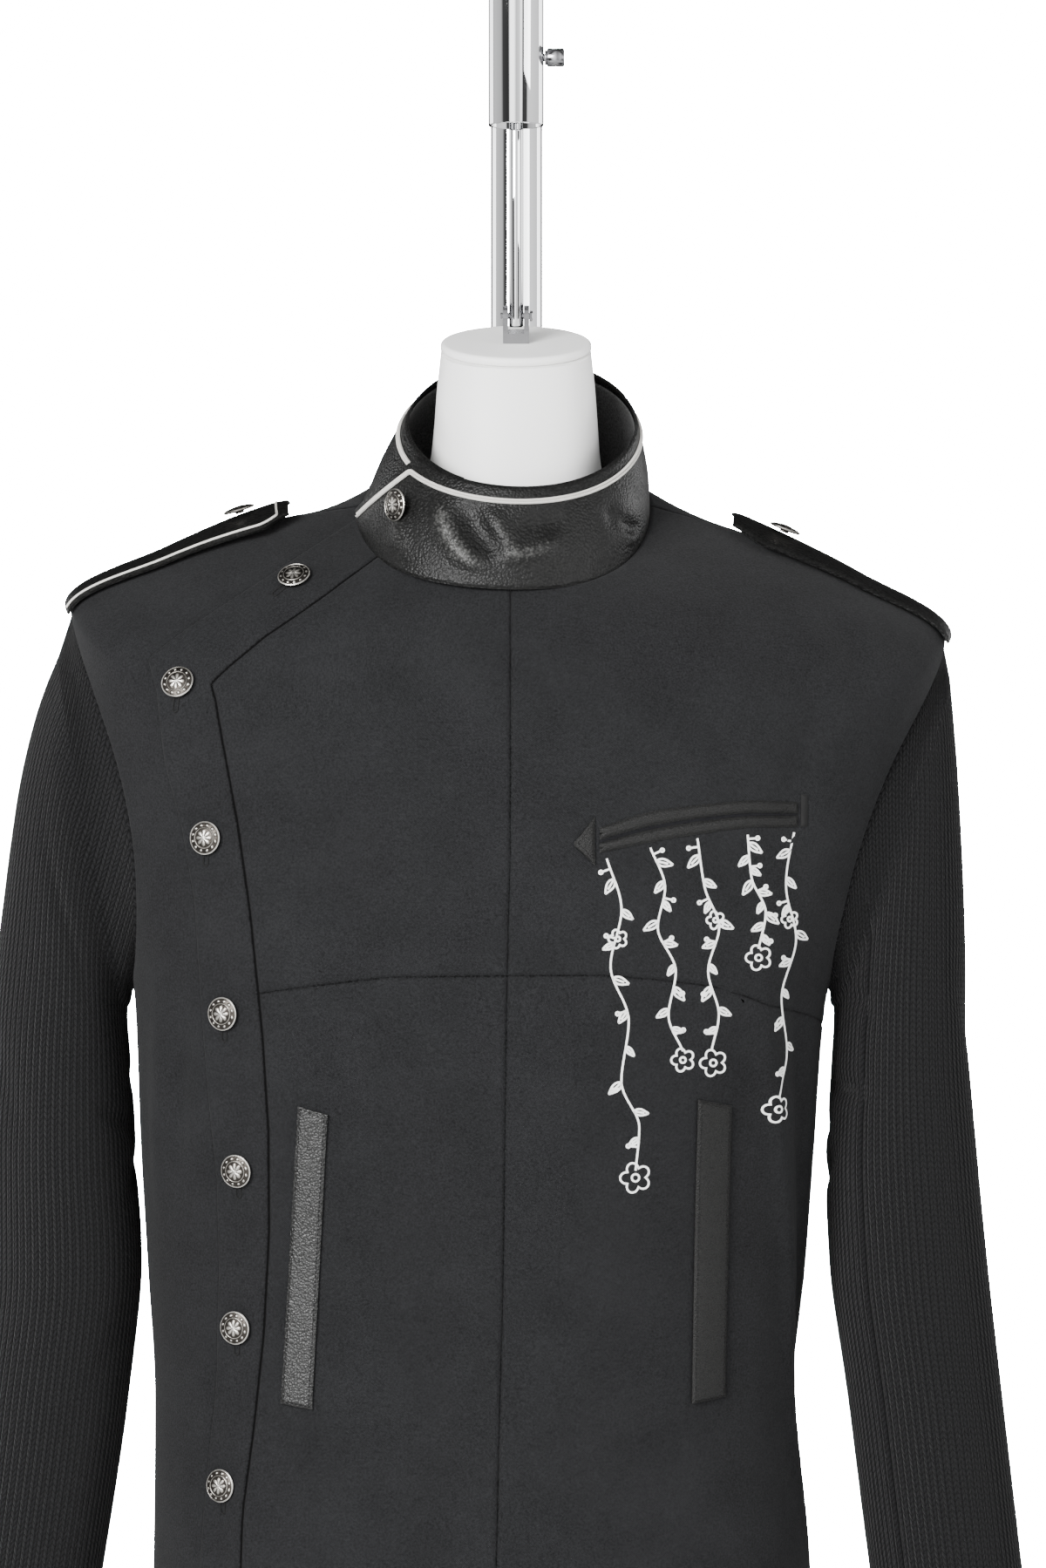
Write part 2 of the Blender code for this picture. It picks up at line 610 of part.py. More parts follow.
def collar(leather, cloth, braid):
    """The leather strip, its cloth facing, and the braid that runs up its end and along its rim."""
    collar_wall("collar", 7, 0, 1, 0.0, LEATHER, leather)
    collar_wall("collar_facing", 7, FACING_FOOT, FACING_TOP, -LEATHER - SEAM_GAP, FACING, cloth)
    leg = np.linspace(PIPING_FOOT, PIPING_TOP, 7)
    rim = np.linspace(collar_end(PIPING_TOP) + PIPING_CORNER, COLLAR_START - PIPING_TAIL, 50)
    angle = np.concatenate([collar_end(leg) + PIPING_INSET, rim])
    share = np.concatenate([leg, np.full(rim.shape, PIPING_TOP)])
    path = collar_point(angle, share)
    by_angle = collar_point(angle + 0.01, share) - collar_point(angle - 0.01, share)
    by_share = collar_point(angle, share + 0.01) - collar_point(angle, share - 0.01)
    section = bead(PIPING_WIDTH, PIPING_HEIGHT)
    swept("collar_piping", path, unit(np.cross(by_angle, by_share)), section, braid)


# Epaulettes

def strap_point(side, start, end, share, across, height):
    """Point on an epaulette, at a share of its length from the shoulder tip and from -1 to 1 across it."""
    ring = start + (end - start) * share
    half = STRAP_HALF * (1 - STRAP_TAPER * ease((share - TAPER_START) / (1 - TAPER_START)))
    by_angle, _ = body_slopes(side * np.pi / 2 + 0 * ring, ring)
    angle = side * np.pi / 2 + across * half / np.linalg.norm(by_angle, axis=-1)
    return on_body(angle, ring, height + STRAP_REST + STRAP_SPRING * share**3)


def epaulettes(leather, braid):
    """Both straps, and the braid round the right one."""
    for hand, (side, start, end) in EPAULETTES.items():
        share, across = np.meshgrid(STRAP_ROWS, np.linspace(-1, 1, 5), indexing="ij")
        top = strap_point(side, start, end, share, across, STRAP_THICK)
        bottom = strap_point(side, start, end, share, across, 0.0)
        wall("epaulette_" + hand, top, bottom, leather)
    side, start, end = EPAULETTES["right"]
    edge = np.append(0.02, STRAP_ROWS[1:-2])
    share = np.concatenate([edge, STRAP_ROWS[[-2, -2, -2]], edge[::-1]])
    across = np.concatenate([np.full(edge.shape, 0.9), [0.5, 0.0, -0.5], np.full(edge.shape, -0.9)])
    path = strap_point(side, start, end, share, across, STRAP_THICK)
    beyond = strap_point(side, start, end, share, across, STRAP_THICK + 1)
    swept("epaulette_piping", path, unit(beyond - path), bead(STRAP_PIPING_WIDTH, STRAP_PIPING_HEIGHT), braid)


# Pockets

def patch(name, corners, rows, columns, low, high, material, lapped=None):
    """Plate on the front between a lower and an upper edge, each a row of x and z."""
    corners = np.array(corners, float)
    climb = np.linspace(0, 1, rows)[:, None, None]
    share = np.linspace(0, len(corners[0]) - 1, columns)
    knots = np.arange(len(corners[0]))
    lines = [np.stack([np.interp(share, knots, line[:, i]) for i in (0, 1)], -1) for line in corners]
    angle, ring = locate(lines[0] + climb * (lines[1] - lines[0]))
    under = lapped(angle, ring) if lapped else 0
    return wall(name, on_body(angle, ring, under + high), on_body(angle, ring, under + low), material)


def pockets(leather, lapped):
    """Welts of the hand pockets, and the jets, tab and tack of the chest pocket."""
    patch("welt_right", WELTS["welt_right"], 9, 3, WELT_LOW, WELT_HIGH, leather, lapped)
    patch("welt_left", WELTS["welt_left"], 9, 3, WELT_LOW, WELT_HIGH, leather)
    for name, rows in (("jet_upper", JET_UPPER), ("jet_lower", JET_LOWER)):
        x, top, bottom = np.array(rows, float).T
        edges = np.column_stack([x, bottom]), np.column_stack([x, top])
        patch(name, edges, 2, 17, TRIM_LOW, JET_HIGH, leather)
    patch("pocket_tab", TAB, 3, 3, TRIM_LOW, TAB_HIGH, leather)
    patch("pocket_tack", TACK, 3, 2, TRIM_LOW, TACK_HIGH, leather)


# Buttons

def button(name, seat, facing, material):
    """Domed shank button with a rolled rim."""
    across = unit(np.cross([0.0, 0.0, 1.0], facing))
    axes = (across, np.cross(facing, across), facing)
    shank = ((2.6, 0.0), (2.6, 1.2))
    dome = ((BUTTON_RADIUS, 1.6), (BUTTON_RADIUS * 0.93, 2.9), (BUTTON_RADIUS * 0.55, 4.0), (1.0, 4.4))
    profile = shank + dome
    turned(name, profile, 12, seat, axes, material)


def buttons(silver, lapped):
    """Buttons of the band, the collar and the straps, each on what lies under it."""
    for i, place in enumerate(BAND_BUTTONS, start=1):
        angle, ring = locate(place)
        seat = on_body(angle, ring, lapped(angle, ring) + BUTTON_SEAT)
        button(f"button_{i}", seat, unit(seat - on_body(angle, ring)), silver)
    angle, share, out = COLLAR_BUTTON
    seat, inside = (collar_point(angle, share, distance) for distance in (out, 0.0))
    button("button_collar", seat, unit(seat - inside), silver)
    for hand, (side, start, end) in EPAULETTES.items():
        heights = STRAP_THICK + BUTTON_OVER_STRAP, STRAP_THICK
        seat, under = (strap_point(side, start, end, np.float64(STRAP_BUTTON), 0.0, height) for height in heights)
        button("button_epaulette_" + hand, seat, unit(seat - under), silver)


# Dress form

def form(satin):
    """Torso of the dress form, closed below and under its neck cap."""
    turn = np.arange(26) * 2 * np.pi / 26
    rings = oval(lambda name: FORM_RINGS[:, BODY_COLUMNS.index(name)][:, None], turn[None, :])
    capped("form_torso", rings, satin)


# Stand

def tube_rings(path, radius, sides):
    """Circles round a path that lies in the plane x = 0."""
    path = np.array(path, float)
    along = unit(np.gradient(path, axis=0))
    side = np.array([1.0, 0.0, 0.0])
    other = np.cross(along, side)
    turn = ((np.arange(sides) + 0.5) * 2 * np.pi / sides)[None, :, None]
    return path[:, None] + radius * (np.cos(turn) * side + np.sin(turn) * other[:, None])


def straight_tube(name, y, low, high, outer, inner, material):
    """Upright tube at a y, between two heights and two radii."""
    path = ((0, y, low), (0, y, high))
    return wall(name, tube_rings(path, outer, 16), tube_rings(path, inner, 16), material, around=True)


def cut(obj, cutter):
    """Takes a helper's shape out of an object."""
    modifier = obj.modifiers.new("cut", "BOOLEAN")
    modifier.operation = "DIFFERENCE"
    modifier.object = cutter


def helper(obj):
    """Marks an object as a cutter, which isn't built itself."""
    obj.hide_render = True
    obj.display_type = "WIRE"
    return obj


def round_bar(name, start, end, radius, sides, material):
    """Straight bar between two points."""
    start, end = np.array(start, float), np.array(end, float)
    length = np.linalg.norm(end - start)
    along = (end - start) / length
    across = unit(np.cross(along, [0.0, 1.0, 0.0] if abs(along[1]) < 0.9 else [1.0, 0.0, 0.0]))
    axes = (across, np.cross(along, across), along)
    return turned(name, ((radius, 0), (radius, length)), sides, start, axes, material)


def pole_path():
    """Cane: up from the base behind the form, over in a half circle, and down to the open end."""
    bend = POLE_BACK / 2
    turn = np.linspace(0, np.pi, 15)
    path = [(0, POLE_BACK, BASE_THICK + SEAM_GAP)]
    path += [(0, bend + bend * np.cos(t), BEND_START + bend * np.sin(t)) for t in turn]
    path += [(0, 0, POLE_END)]
    return path


def stand(chrome, steel, hole):
    """Bent tube, the guide in its open end, its socket and the base plate."""
    path = pole_path()
    bore = POLE_RADIUS - POLE_WALL
    outer, inner = tube_rings(path, POLE_RADIUS, 16), tube_rings(path, bore, 16)
    cut(wall("pole", outer, inner, chrome, around=True), hole)
    low, high = BASE_THICK + SEAM_GAP, BASE_THICK + SOCKET_LENGTH
    straight_tube("pole_socket", POLE_BACK, low, high, POLE_RADIUS + SOCKET_WALL, POLE_RADIUS + SLIDE_GAP, steel)
    guide = straight_tube("tube_guide", 0, GUIDE_LOW, GUIDE_HIGH, bore - SLIDE_GAP, ROD_RADIUS + SLIDE_GAP, steel)
    cut(guide, hole)
    sides = 20
    turn = (np.arange(sides) + 0.5) * 2 * np.pi / sides
    corner = np.stack([np.cos(turn), np.sin(turn)], -1)
    reach = np.array([BASE_HALF, (BASE_BACK - BASE_FRONT) / 2]) - BASE_CORNER
    bulge = corner * BASE_CORNER / np.cos(np.pi / sides)
    outline = np.array([0, (BASE_FRONT + BASE_BACK) / 2]) + np.sign(corner) * reach + bulge
    rings = [np.column_stack([outline, np.full(len(outline), z)]) for z in (0, BASE_THICK)]
    capped("base", np.stack(rings), steel)


def hanger(chrome, satin):
    """Cap of the neck, fork, pin and rod. The fork stands square on the cap, which leans forward by NECK_TILT."""
    lean = np.array([0, -np.sin(NECK_TILT), np.cos(NECK_TILT)])
    fore = np.array([0, np.cos(NECK_TILT), np.sin(NECK_TILT)])
    side = np.array([1.0, 0.0, 0.0])
    pin_at = np.array([0, 0, PIN_Z])
    cap_top = pin_at - lean * CAP_BELOW_PIN
    profile = (
        (CAP_RADIUS - 1.2, -CAP_THICK), (CAP_RADIUS, -CAP_THICK + 1.2), (CAP_RADIUS, -1.4), (CAP_RADIUS - 1.4, 0),
    )
    turned("form_cap", profile, 32, cap_top, (side, fore, lean), satin)
    pin_hole = helper(round_bar("pin_hole", pin_at - side * 12, pin_at + side * 12, PIN_RADIUS + SEAM_GAP, 16, None))
    turn = np.linspace(0, np.pi, 9)
    dome = [pin_at + FORK_RADIUS * (np.cos(t) * fore + np.sin(t) * lean) for t in turn]
    foot = [cap_top + lean * SEAM_GAP + way * FORK_RADIUS * fore for way in (-1, 1)]
    outline = np.array(dome + foot)
    fork = capped("clevis", np.stack([outline - side * FORK_HALF, outline + side * FORK_HALF]), chrome)
    corners = ((1, 1), (-1, 1), (-1, -1), (1, -1))
    slot = np.array([pin_at + FORK_SLOT * (fore * a + lean * b) for a, b in corners])
    slot_box = helper(capped("fork_slot", np.stack([slot - side * FORK_INSIDE, slot + side * FORK_INSIDE]), None))
    cut(fork, slot_box)
    cut(fork, pin_hole)
    rod = round_bar("rod", (0, 0, ROD_END), (0, 0, ROD_TOP), ROD_RADIUS, 16, chrome)
    cut(rod, pin_hole)
    head = FORK_HALF + SEAM_GAP
    profile = (
        (PIN_RADIUS, -head - 1.1), (PIN_RADIUS, head), (PIN_HEAD, head), (PIN_HEAD, head + 1.4),
        (PIN_HEAD - 0.6, head + 1.8),
    )
    turned("clevis_pin", profile, 12, pin_at, (fore, lean, side), chrome)


def knob(chrome):
    """Clamp screw with its collar and round grip, on an axis along X."""
    end = KNOB_START + KNOB_LENGTH
    profile = (
        (SCREW_RADIUS, ROD_RADIUS + SLIDE_GAP), (SCREW_RADIUS, SCREW_END), (NUT_RADIUS, SCREW_END),
        (NUT_RADIUS, KNOB_START), (KNOB_RADIUS, KNOB_START), (KNOB_RADIUS, end - 0.8), (KNOB_RADIUS - 0.8, end),
    )
    axis_at = (0, 0, KNOB_Z)
    axes = ((0, 1, 0), (0, 0, 1), (1, 0, 0))
    move_origin(turned("knob", profile, 16, axis_at, axes, chrome), axis_at)


def main():
    clear_scene()
    cloth = principled("suiting", (0.035, 0.035, 0.037), 0.85)
    knit = principled("knit", (0.012, 0.012, 0.013), 0.95)
    leather = principled("leather", (0.012, 0.012, 0.013), 0.38)
    braid = principled("braid", (0.78, 0.76, 0.72), 0.8)
    silver = principled("antique_silver", (0.30, 0.29, 0.27), 0.35, 1.0)
    satin = principled("form_cover", (0.82, 0.82, 0.80), 0.5)
    chrome = principled("chrome", (0.75, 0.75, 0.76), 0.08, 1.0)
    steel = principled("brushed_steel", (0.45, 0.45, 0.46), 0.35, 1.0)
    outer, inner = seam_by_ring(BAND_OUTER), seam_by_ring(BAND_INNER)
    lapped = lap_height(inner)
    jacket_panels(cloth, outer, inner)
    sleeves(knit)
    collar(leather, cloth, braid)
    epaulettes(leather, braid)
    pockets(leather, lapped)
    buttons(silver, lapped)
    form(satin)
    hole_radius = SCREW_RADIUS + SLIDE_GAP
    hole = helper(round_bar("screw_hole", (2, 0, KNOB_Z), (22, 0, KNOB_Z), hole_radius, 16, None))
    stand(chrome, steel, hole)
    hanger(chrome, satin)
    knob(chrome)


main()
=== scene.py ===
# %% [markdown]
# # A high-neck jacket on a dress form
# The real thing is a wool jacket with a leather stand collar and chunky knit sleeves, worn by a dress
# form that hangs from a bent steel tube. This lesson dresses its solids with fine surfaces and finishes.
# Every new surface is a function of two parameters, worked out with numpy on a grid, because cloth is
# smooth in one sweep and a grid keeps the seams, folds and stitches exactly where a rule puts them.

# %% Load the solids
import json
import bpy
import numpy as np
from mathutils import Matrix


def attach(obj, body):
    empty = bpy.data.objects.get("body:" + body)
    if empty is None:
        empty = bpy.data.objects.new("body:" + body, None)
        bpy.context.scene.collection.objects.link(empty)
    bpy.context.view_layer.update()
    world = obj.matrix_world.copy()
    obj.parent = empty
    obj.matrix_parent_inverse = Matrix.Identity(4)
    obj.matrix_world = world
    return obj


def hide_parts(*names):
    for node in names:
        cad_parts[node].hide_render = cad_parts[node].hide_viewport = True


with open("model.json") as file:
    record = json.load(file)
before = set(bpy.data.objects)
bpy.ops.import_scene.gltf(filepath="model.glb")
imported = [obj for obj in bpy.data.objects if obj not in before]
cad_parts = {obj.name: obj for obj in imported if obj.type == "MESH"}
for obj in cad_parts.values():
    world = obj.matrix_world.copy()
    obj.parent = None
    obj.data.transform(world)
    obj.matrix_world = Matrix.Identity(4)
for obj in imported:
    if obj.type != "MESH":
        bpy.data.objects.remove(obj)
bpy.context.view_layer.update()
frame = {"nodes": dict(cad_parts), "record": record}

# %% [markdown]
# ## Camera, floor and light
# The photograph was taken level with the chest, from nearly three metres, with a long lens. A pale floor
# lies under the stand, and two large soft lights stand in front of it and two behind. The camera sees a
# plain white backdrop, and everything else a ring of light and dark screens, because chrome looks like
# chrome only when it has something to mirror. The floor ends before the camera's view reaches it, so the
# background stays white.

# %% Camera
MM = 0.001
PHOTO_HEIGHT, FOCAL_PIXELS = 1799, 5500
SENSOR_MM = 36
EYE = (4, -2750, 675)

camera_data = bpy.data.cameras.new("camera")
camera_data.sensor_width = SENSOR_MM
camera_data.lens = SENSOR_MM * FOCAL_PIXELS / PHOTO_HEIGHT
camera = bpy.data.objects.new("camera", camera_data)
camera.location = np.array(EYE) * MM
camera.rotation_euler = (np.pi / 2, 0, 0)
bpy.context.scene.collection.objects.link(camera)
bpy.context.scene.camera = camera
print("lens", round(camera_data.lens, 1), "mm at", EYE)

# %% Number helpers

def ease(t):
    """Smooth step from 0 to 1: three t squared less two t cubed."""
    t = np.clip(t, 0, 1)
    return t * t * (3 - 2 * t)


def unit(vectors):
    """Each vector divided by its length."""
    return vectors / np.linalg.norm(vectors, axis=-1, keepdims=True)


def smooth(at, knots, values):
    """Cubic curve through the knots. Its slopes are harmonic means of the steps beside them."""
    width = np.diff(knots)
    rise = np.diff(values) / width
    before, after = 2 * width[1:] + width[:-1], width[1:] + 2 * width[:-1]
    same_way = rise[:-1] * rise[1:] > 0
    low, high = np.where(same_way, rise[:-1], 1), np.where(same_way, rise[1:], 1)
    inner = np.where(same_way, (before + after) / (before / low + after / high), 0)
    slope = np.concatenate([rise[:1], inner, rise[-1:]])
    k = np.clip(np.searchsorted(knots, at) - 1, 0, len(width) - 1)
    t = (at - knots[k]) / width[k]
    start = values[k] * (1 + 2 * t) * (1 - t) ** 2 + slope[k] * width[k] * t * (1 - t) ** 2
    end = values[k + 1] * t * t * (3 - 2 * t) - slope[k + 1] * width[k] * t * t * (1 - t)
    return start + end


def turns(count, start=0.0):
    """Evenly spaced angles of a full turn, the first at this share of a step."""
    return (np.arange(count) + start) * 2 * np.pi / count


def circle(turn):
    """Points of a circle of radius 1 at these angles."""
    return np.stack([np.cos(turn), np.sin(turn)], -1)


def grid_normals(points, around=False):
    """Unit cross product of a grid's steps along its columns and its rows."""
    along = np.gradient(points, axis=0)
    if around:
        across = np.roll(points, -1, axis=1) - np.roll(points, 1, axis=1)
    else:
        across = np.gradient(points, axis=1)
    return unit(np.cross(across, along))


print("ease at a quarter:", ease(0.25))

# %% Mesh helpers
BODY_OF = {node: body for body, nodes in frame["record"]["behaviour"]["bodies"].items() for node in nodes}


def make_mesh(name, points, face_sets, uv_sets=None, values=None):
    """Mesh object from points in millimetres and arrays of point numbers, one for each number of corners.

    uv_sets holds a pair for every corner, in the same order, and values one number for every point.
    """
    mesh = bpy.data.meshes.new(name)
    mesh.vertices.add(len(points))
    mesh.vertices.foreach_set("co", np.asarray(points, np.float32).ravel() * np.float32(MM))
    corner = np.concatenate([faces.ravel() for faces in face_sets]).astype(np.int32)
    sizes = np.concatenate([np.full(len(faces), faces.shape[1]) for faces in face_sets])
    mesh.loops.add(len(corner))
    mesh.loops.foreach_set("vertex_index", corner)
    mesh.polygons.add(len(sizes))
    mesh.polygons.foreach_set("loop_start", (np.cumsum(sizes) - sizes).astype(np.int32))
    if uv_sets is not None:
        layer = mesh.uv_layers.new(name="cut")
        layer.data.foreach_set("uv", np.concatenate(uv_sets).astype(np.float32).ravel())
    if values is not None:
        attribute = mesh.attributes.new("relief", "FLOAT", "POINT")
        attribute.data.foreach_set("value", np.asarray(values, np.float32).ravel())
    mesh.update(calc_edges=True)
    mesh.validate()
    mesh.shade_smooth()
    mesh.set_sharp_from_angle(angle=np.radians(50))
    piece = bpy.data.objects.new(name, mesh)
    bpy.context.scene.collection.objects.link(piece)
    return piece


def grid_quads(rows, wide):
    """Corners of a grid's quads, numbered row by row."""
    here = (np.arange(rows - 1)[:, None] * wide + np.arange(wide - 1)[None, :]).ravel()
    return np.stack([here, here + 1, here + 1 + wide, here + wide], -1)


def shell(name, outer, inner, around=False, uv=None, values=None):
    """Closed wall between an outer and an inner grid, joined by strips round their edges.

    Columns run anticlockwise seen from outside and rows upwards. With around, the last column meets the
    first. values holds a number for every point of the outer grid.
    """
    faces, marks, number, place = [], [], [], []
    first = 0
    for grid, turned_in in ((outer, False), (inner, True)):
        rows, columns = grid.shape[:2]
        wide = columns + around
        own = first + np.arange(rows * columns).reshape(rows, columns)
        own = np.concatenate([own, own[:, :1]], axis=1) if around else own
        if uv is None:
            across, up = np.meshgrid(np.arange(wide), np.arange(rows))
            cut = np.stack([across, up], -1) / max(wide, rows)
        else:
            cut = uv[int(turned_in)]
        quads = grid_quads(rows, wide)
        quads = quads[:, ::-1] if turned_in else quads
        faces.append(own.ravel()[quads])
        marks.append(cut.reshape(-1, 2)[quads].reshape(-1, 2))
        number.append(own)
        place.append(cut)
        first += rows * columns
    ends = [(np.s_[0], 1), (np.s_[-1], -1)]
    ends += [] if around else [(np.s_[:, -1], 1), (np.s_[:, 0], -1)]
    for line, way in ends:
        a, b = number[0][line], number[1][line]
        quads = np.stack([a[:-1], b[:-1], b[1:], a[1:]], -1)[:, ::way]
        edge = place[0][line]
        cut = np.stack([edge[:-1], edge[:-1], edge[1:], edge[1:]], 1)[:, ::way]
        faces.append(quads)
        marks.append(cut.reshape(-1, 2))
    points = np.concatenate([outer.reshape(-1, 3), inner.reshape(-1, 3)])
    if values is not None:
        values = np.append(values.ravel(), np.zeros(inner.shape[0] * inner.shape[1]))
    return make_mesh(name, points, faces, marks, values)


def capped(name, rings, values=None):
    """Closed solid through rings of points, with a flat face on each end ring."""
    rows, columns = rings.shape[:2]
    number = np.arange(rows * columns).reshape(rows, columns)
    number = np.concatenate([number, number[:, :1]], axis=1)
    quads = number.ravel()[grid_quads(rows, columns + 1)]
    caps = np.stack([number[0, :-1][::-1], number[-1, :-1]])
    return make_mesh(name, rings.reshape(-1, 3), [quads, caps], values=values)


def turned(name, profile, sides, seat, axes):
    """Solid turned about its own axis: each row of the profile is a circle's radius and height."""
    profile = np.array(profile, float)
    circles = profile[:, :1, None] * circle(turns(sides, 0.5))[None]
    heights = np.repeat(profile[:, None, 1:], sides, axis=1)
    local = np.concatenate([circles, heights], -1)
    return capped(name, local @ np.array(axes, float) + np.array(seat, float))


def dress(piece, material, node=None):
    """Gives a piece its finish and its body. One that stands for a solid rides as it does and hides it."""
    piece.data.materials.clear()
    piece.data.materials.append(material)
    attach(piece, BODY_OF.get(node, "torso"))
    if node:
        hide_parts(node)
    return piece


def triangles(*pieces):
    """Number of triangles in some pieces."""
    return sum(len(loop.vertices) - 2 for piece in pieces for loop in piece.data.polygons)


print(len(BODY_OF), "solids on", sorted(set(BODY_OF.values())))

# %% Node helpers

class Nodes:
    """A node tree with short ways to add nodes and to link them."""

    def __init__(self, tree):
        self.tree = tree
        self.places = tree.nodes.new("ShaderNodeTexCoord")

    def link(self, value, socket):
        """Leads an output, or writes a number, into a socket."""
        if isinstance(value, bpy.types.NodeSocket):
            self.tree.links.new(value, socket)
        else:
            socket.default_value = value

    def sum(self, operation, *values):
        """Output of a Math node."""
        node = self.tree.nodes.new("ShaderNodeMath")
        node.operation = operation
        for value, socket in zip(values, node.inputs):
            self.link(value, socket)
        return node.outputs[0]

    def axes(self, where):
        """The coordinates of a place, one by one."""
        node = self.tree.nodes.new("ShaderNodeSeparateXYZ")
        self.link(self.places.outputs[where], node.inputs[0])
        return node.outputs[0], node.outputs[1], node.outputs[2]

    def ramp(self, factor, *stops):
        """Colour that runs through the stops, each a place and a colour."""
        node = self.tree.nodes.new("ShaderNodeValToRGB")
        self.link(factor, node.inputs["Fac"])
        elements = node.color_ramp.elements
        for i, (place, colour) in enumerate(stops):
            element = elements[i] if i < 2 else elements.new(place)
            element.position = place
            element.color = (*colour, 1)
        return node.outputs["Color"]


print("node helpers:", [name for name in vars(Nodes) if name[0] != "_"])

# %% Floor and lights
FLOOR_RADIUS, FLOOR_SIDES, FLOOR_DROP = 1250.0, 96, 0.5
rim = np.column_stack([FLOOR_RADIUS * circle(turns(FLOOR_SIDES)), np.full(FLOOR_SIDES, -FLOOR_DROP)])
floor = make_mesh("floor", rim, [np.arange(FLOOR_SIDES)[None, :]])

# Each light's place and size in metres, and its watts
LIGHTS = {
    "key": ((-1.5, -2.3, 1.45), 1.3, 165.0),
    "fill": ((2.1, -1.9, 0.9), 1.5, 42.0),
    "back_left": ((-1.9, 1.3, 1.0), 1.2, 18.0),
    "back_right": ((1.9, 1.3, 1.0), 1.2, 18.0),
}
AIM = np.array((0.0, 0.0, 0.5))


def soft_light(name, place, size, watts):
    """Square area light that faces the jacket's middle: its -Z axis points along the line to AIM."""
    data = bpy.data.lights.new(name, "AREA")
    data.shape = "SQUARE"
    data.size, data.energy = size, watts
    light = bpy.data.objects.new(name, data)
    light.location = place
    back = unit(np.array(place) - AIM)
    light.rotation_euler = (np.arccos(back[2]), 0, np.arctan2(back[1], back[0]) + np.pi / 2)
    bpy.context.scene.collection.objects.link(light)


for name, (place, size, watts) in LIGHTS.items():
    soft_light(name, place, size, watts)

# What stands round the set: bearing, 0 where the camera is and 90 at the picture's right, and brightness
SURROUNDINGS = (
    (-180, 0.04), (-130, 0.06), (-114, 0.5), (-100, 1.0), (-66, 0.8), (-56, 0.08), (-30, 0.05), (-24, 4.2),
    (-9, 4.2), (0, 1.2), (14, 1.6), (23, 3.6), (28, 0.08), (46, 0.08), (52, 1.6), (112, 1.2), (126, 0.1),
    (180, 0.04),
)
BACKDROP, OVERHEAD = 60.0, 0.8


def studio_world():
    """White backdrop for the camera, and for all other rays a ring of light and dark screens round the set.

    The screens dim with the square of the direction's height, by OVERHEAD straight above and below.
    """
    world = bpy.data.worlds.new("studio")
    world.use_nodes = True
    nodes, tree = Nodes(world.node_tree), world.node_tree
    right, ahead, up = nodes.axes("Generated")
    bearing = nodes.sum("ARCTAN2", right, nodes.sum("MULTIPLY", ahead, -1))
    share = nodes.sum("MULTIPLY_ADD", bearing, 0.5 / np.pi, 0.5)
    brightest = max(light for _, light in SURROUNDINGS)
    stops = [((degrees + 180) / 360, [light / brightest] * 3) for degrees, light in SURROUNDINGS]
    dimmed = nodes.sum("MULTIPLY_ADD", nodes.sum("MULTIPLY", up, up), -OVERHEAD * brightest, brightest)
    backdrop, screens = tree.nodes["Background"], tree.nodes.new("ShaderNodeBackground")
    seen, either = tree.nodes.new("ShaderNodeLightPath"), tree.nodes.new("ShaderNodeMixShader")
    links = (
        ((1, 1, 1, 1), backdrop.inputs["Color"]),
        (BACKDROP, backdrop.inputs["Strength"]),
        (nodes.ramp(share, *stops), screens.inputs["Color"]),
        (dimmed, screens.inputs["Strength"]),
        (seen.outputs["Is Camera Ray"], either.inputs[0]),
        (screens.outputs[0], either.inputs[1]),
        (backdrop.outputs[0], either.inputs[2]),
        (either.outputs[0], tree.nodes["World Output"].inputs["Surface"]),
    )
    for value, socket in links:
        nodes.link(value, socket)
    return world


bpy.context.scene.world = studio_world()
print(len(LIGHTS), "soft lights")

# %% [markdown]
# ## Finishes
# Each finish is a small node tree on one Principled shader. Wool suiting is nearly black and matt, with a
# fine diagonal weave and a soft nap. Leather has pebbles that catch the light. The patterns are
# procedural, so they are sharp at any distance, and they read object coordinates or the piece's own cut,
# so they stay put as parts move.

# %% Finish helpers

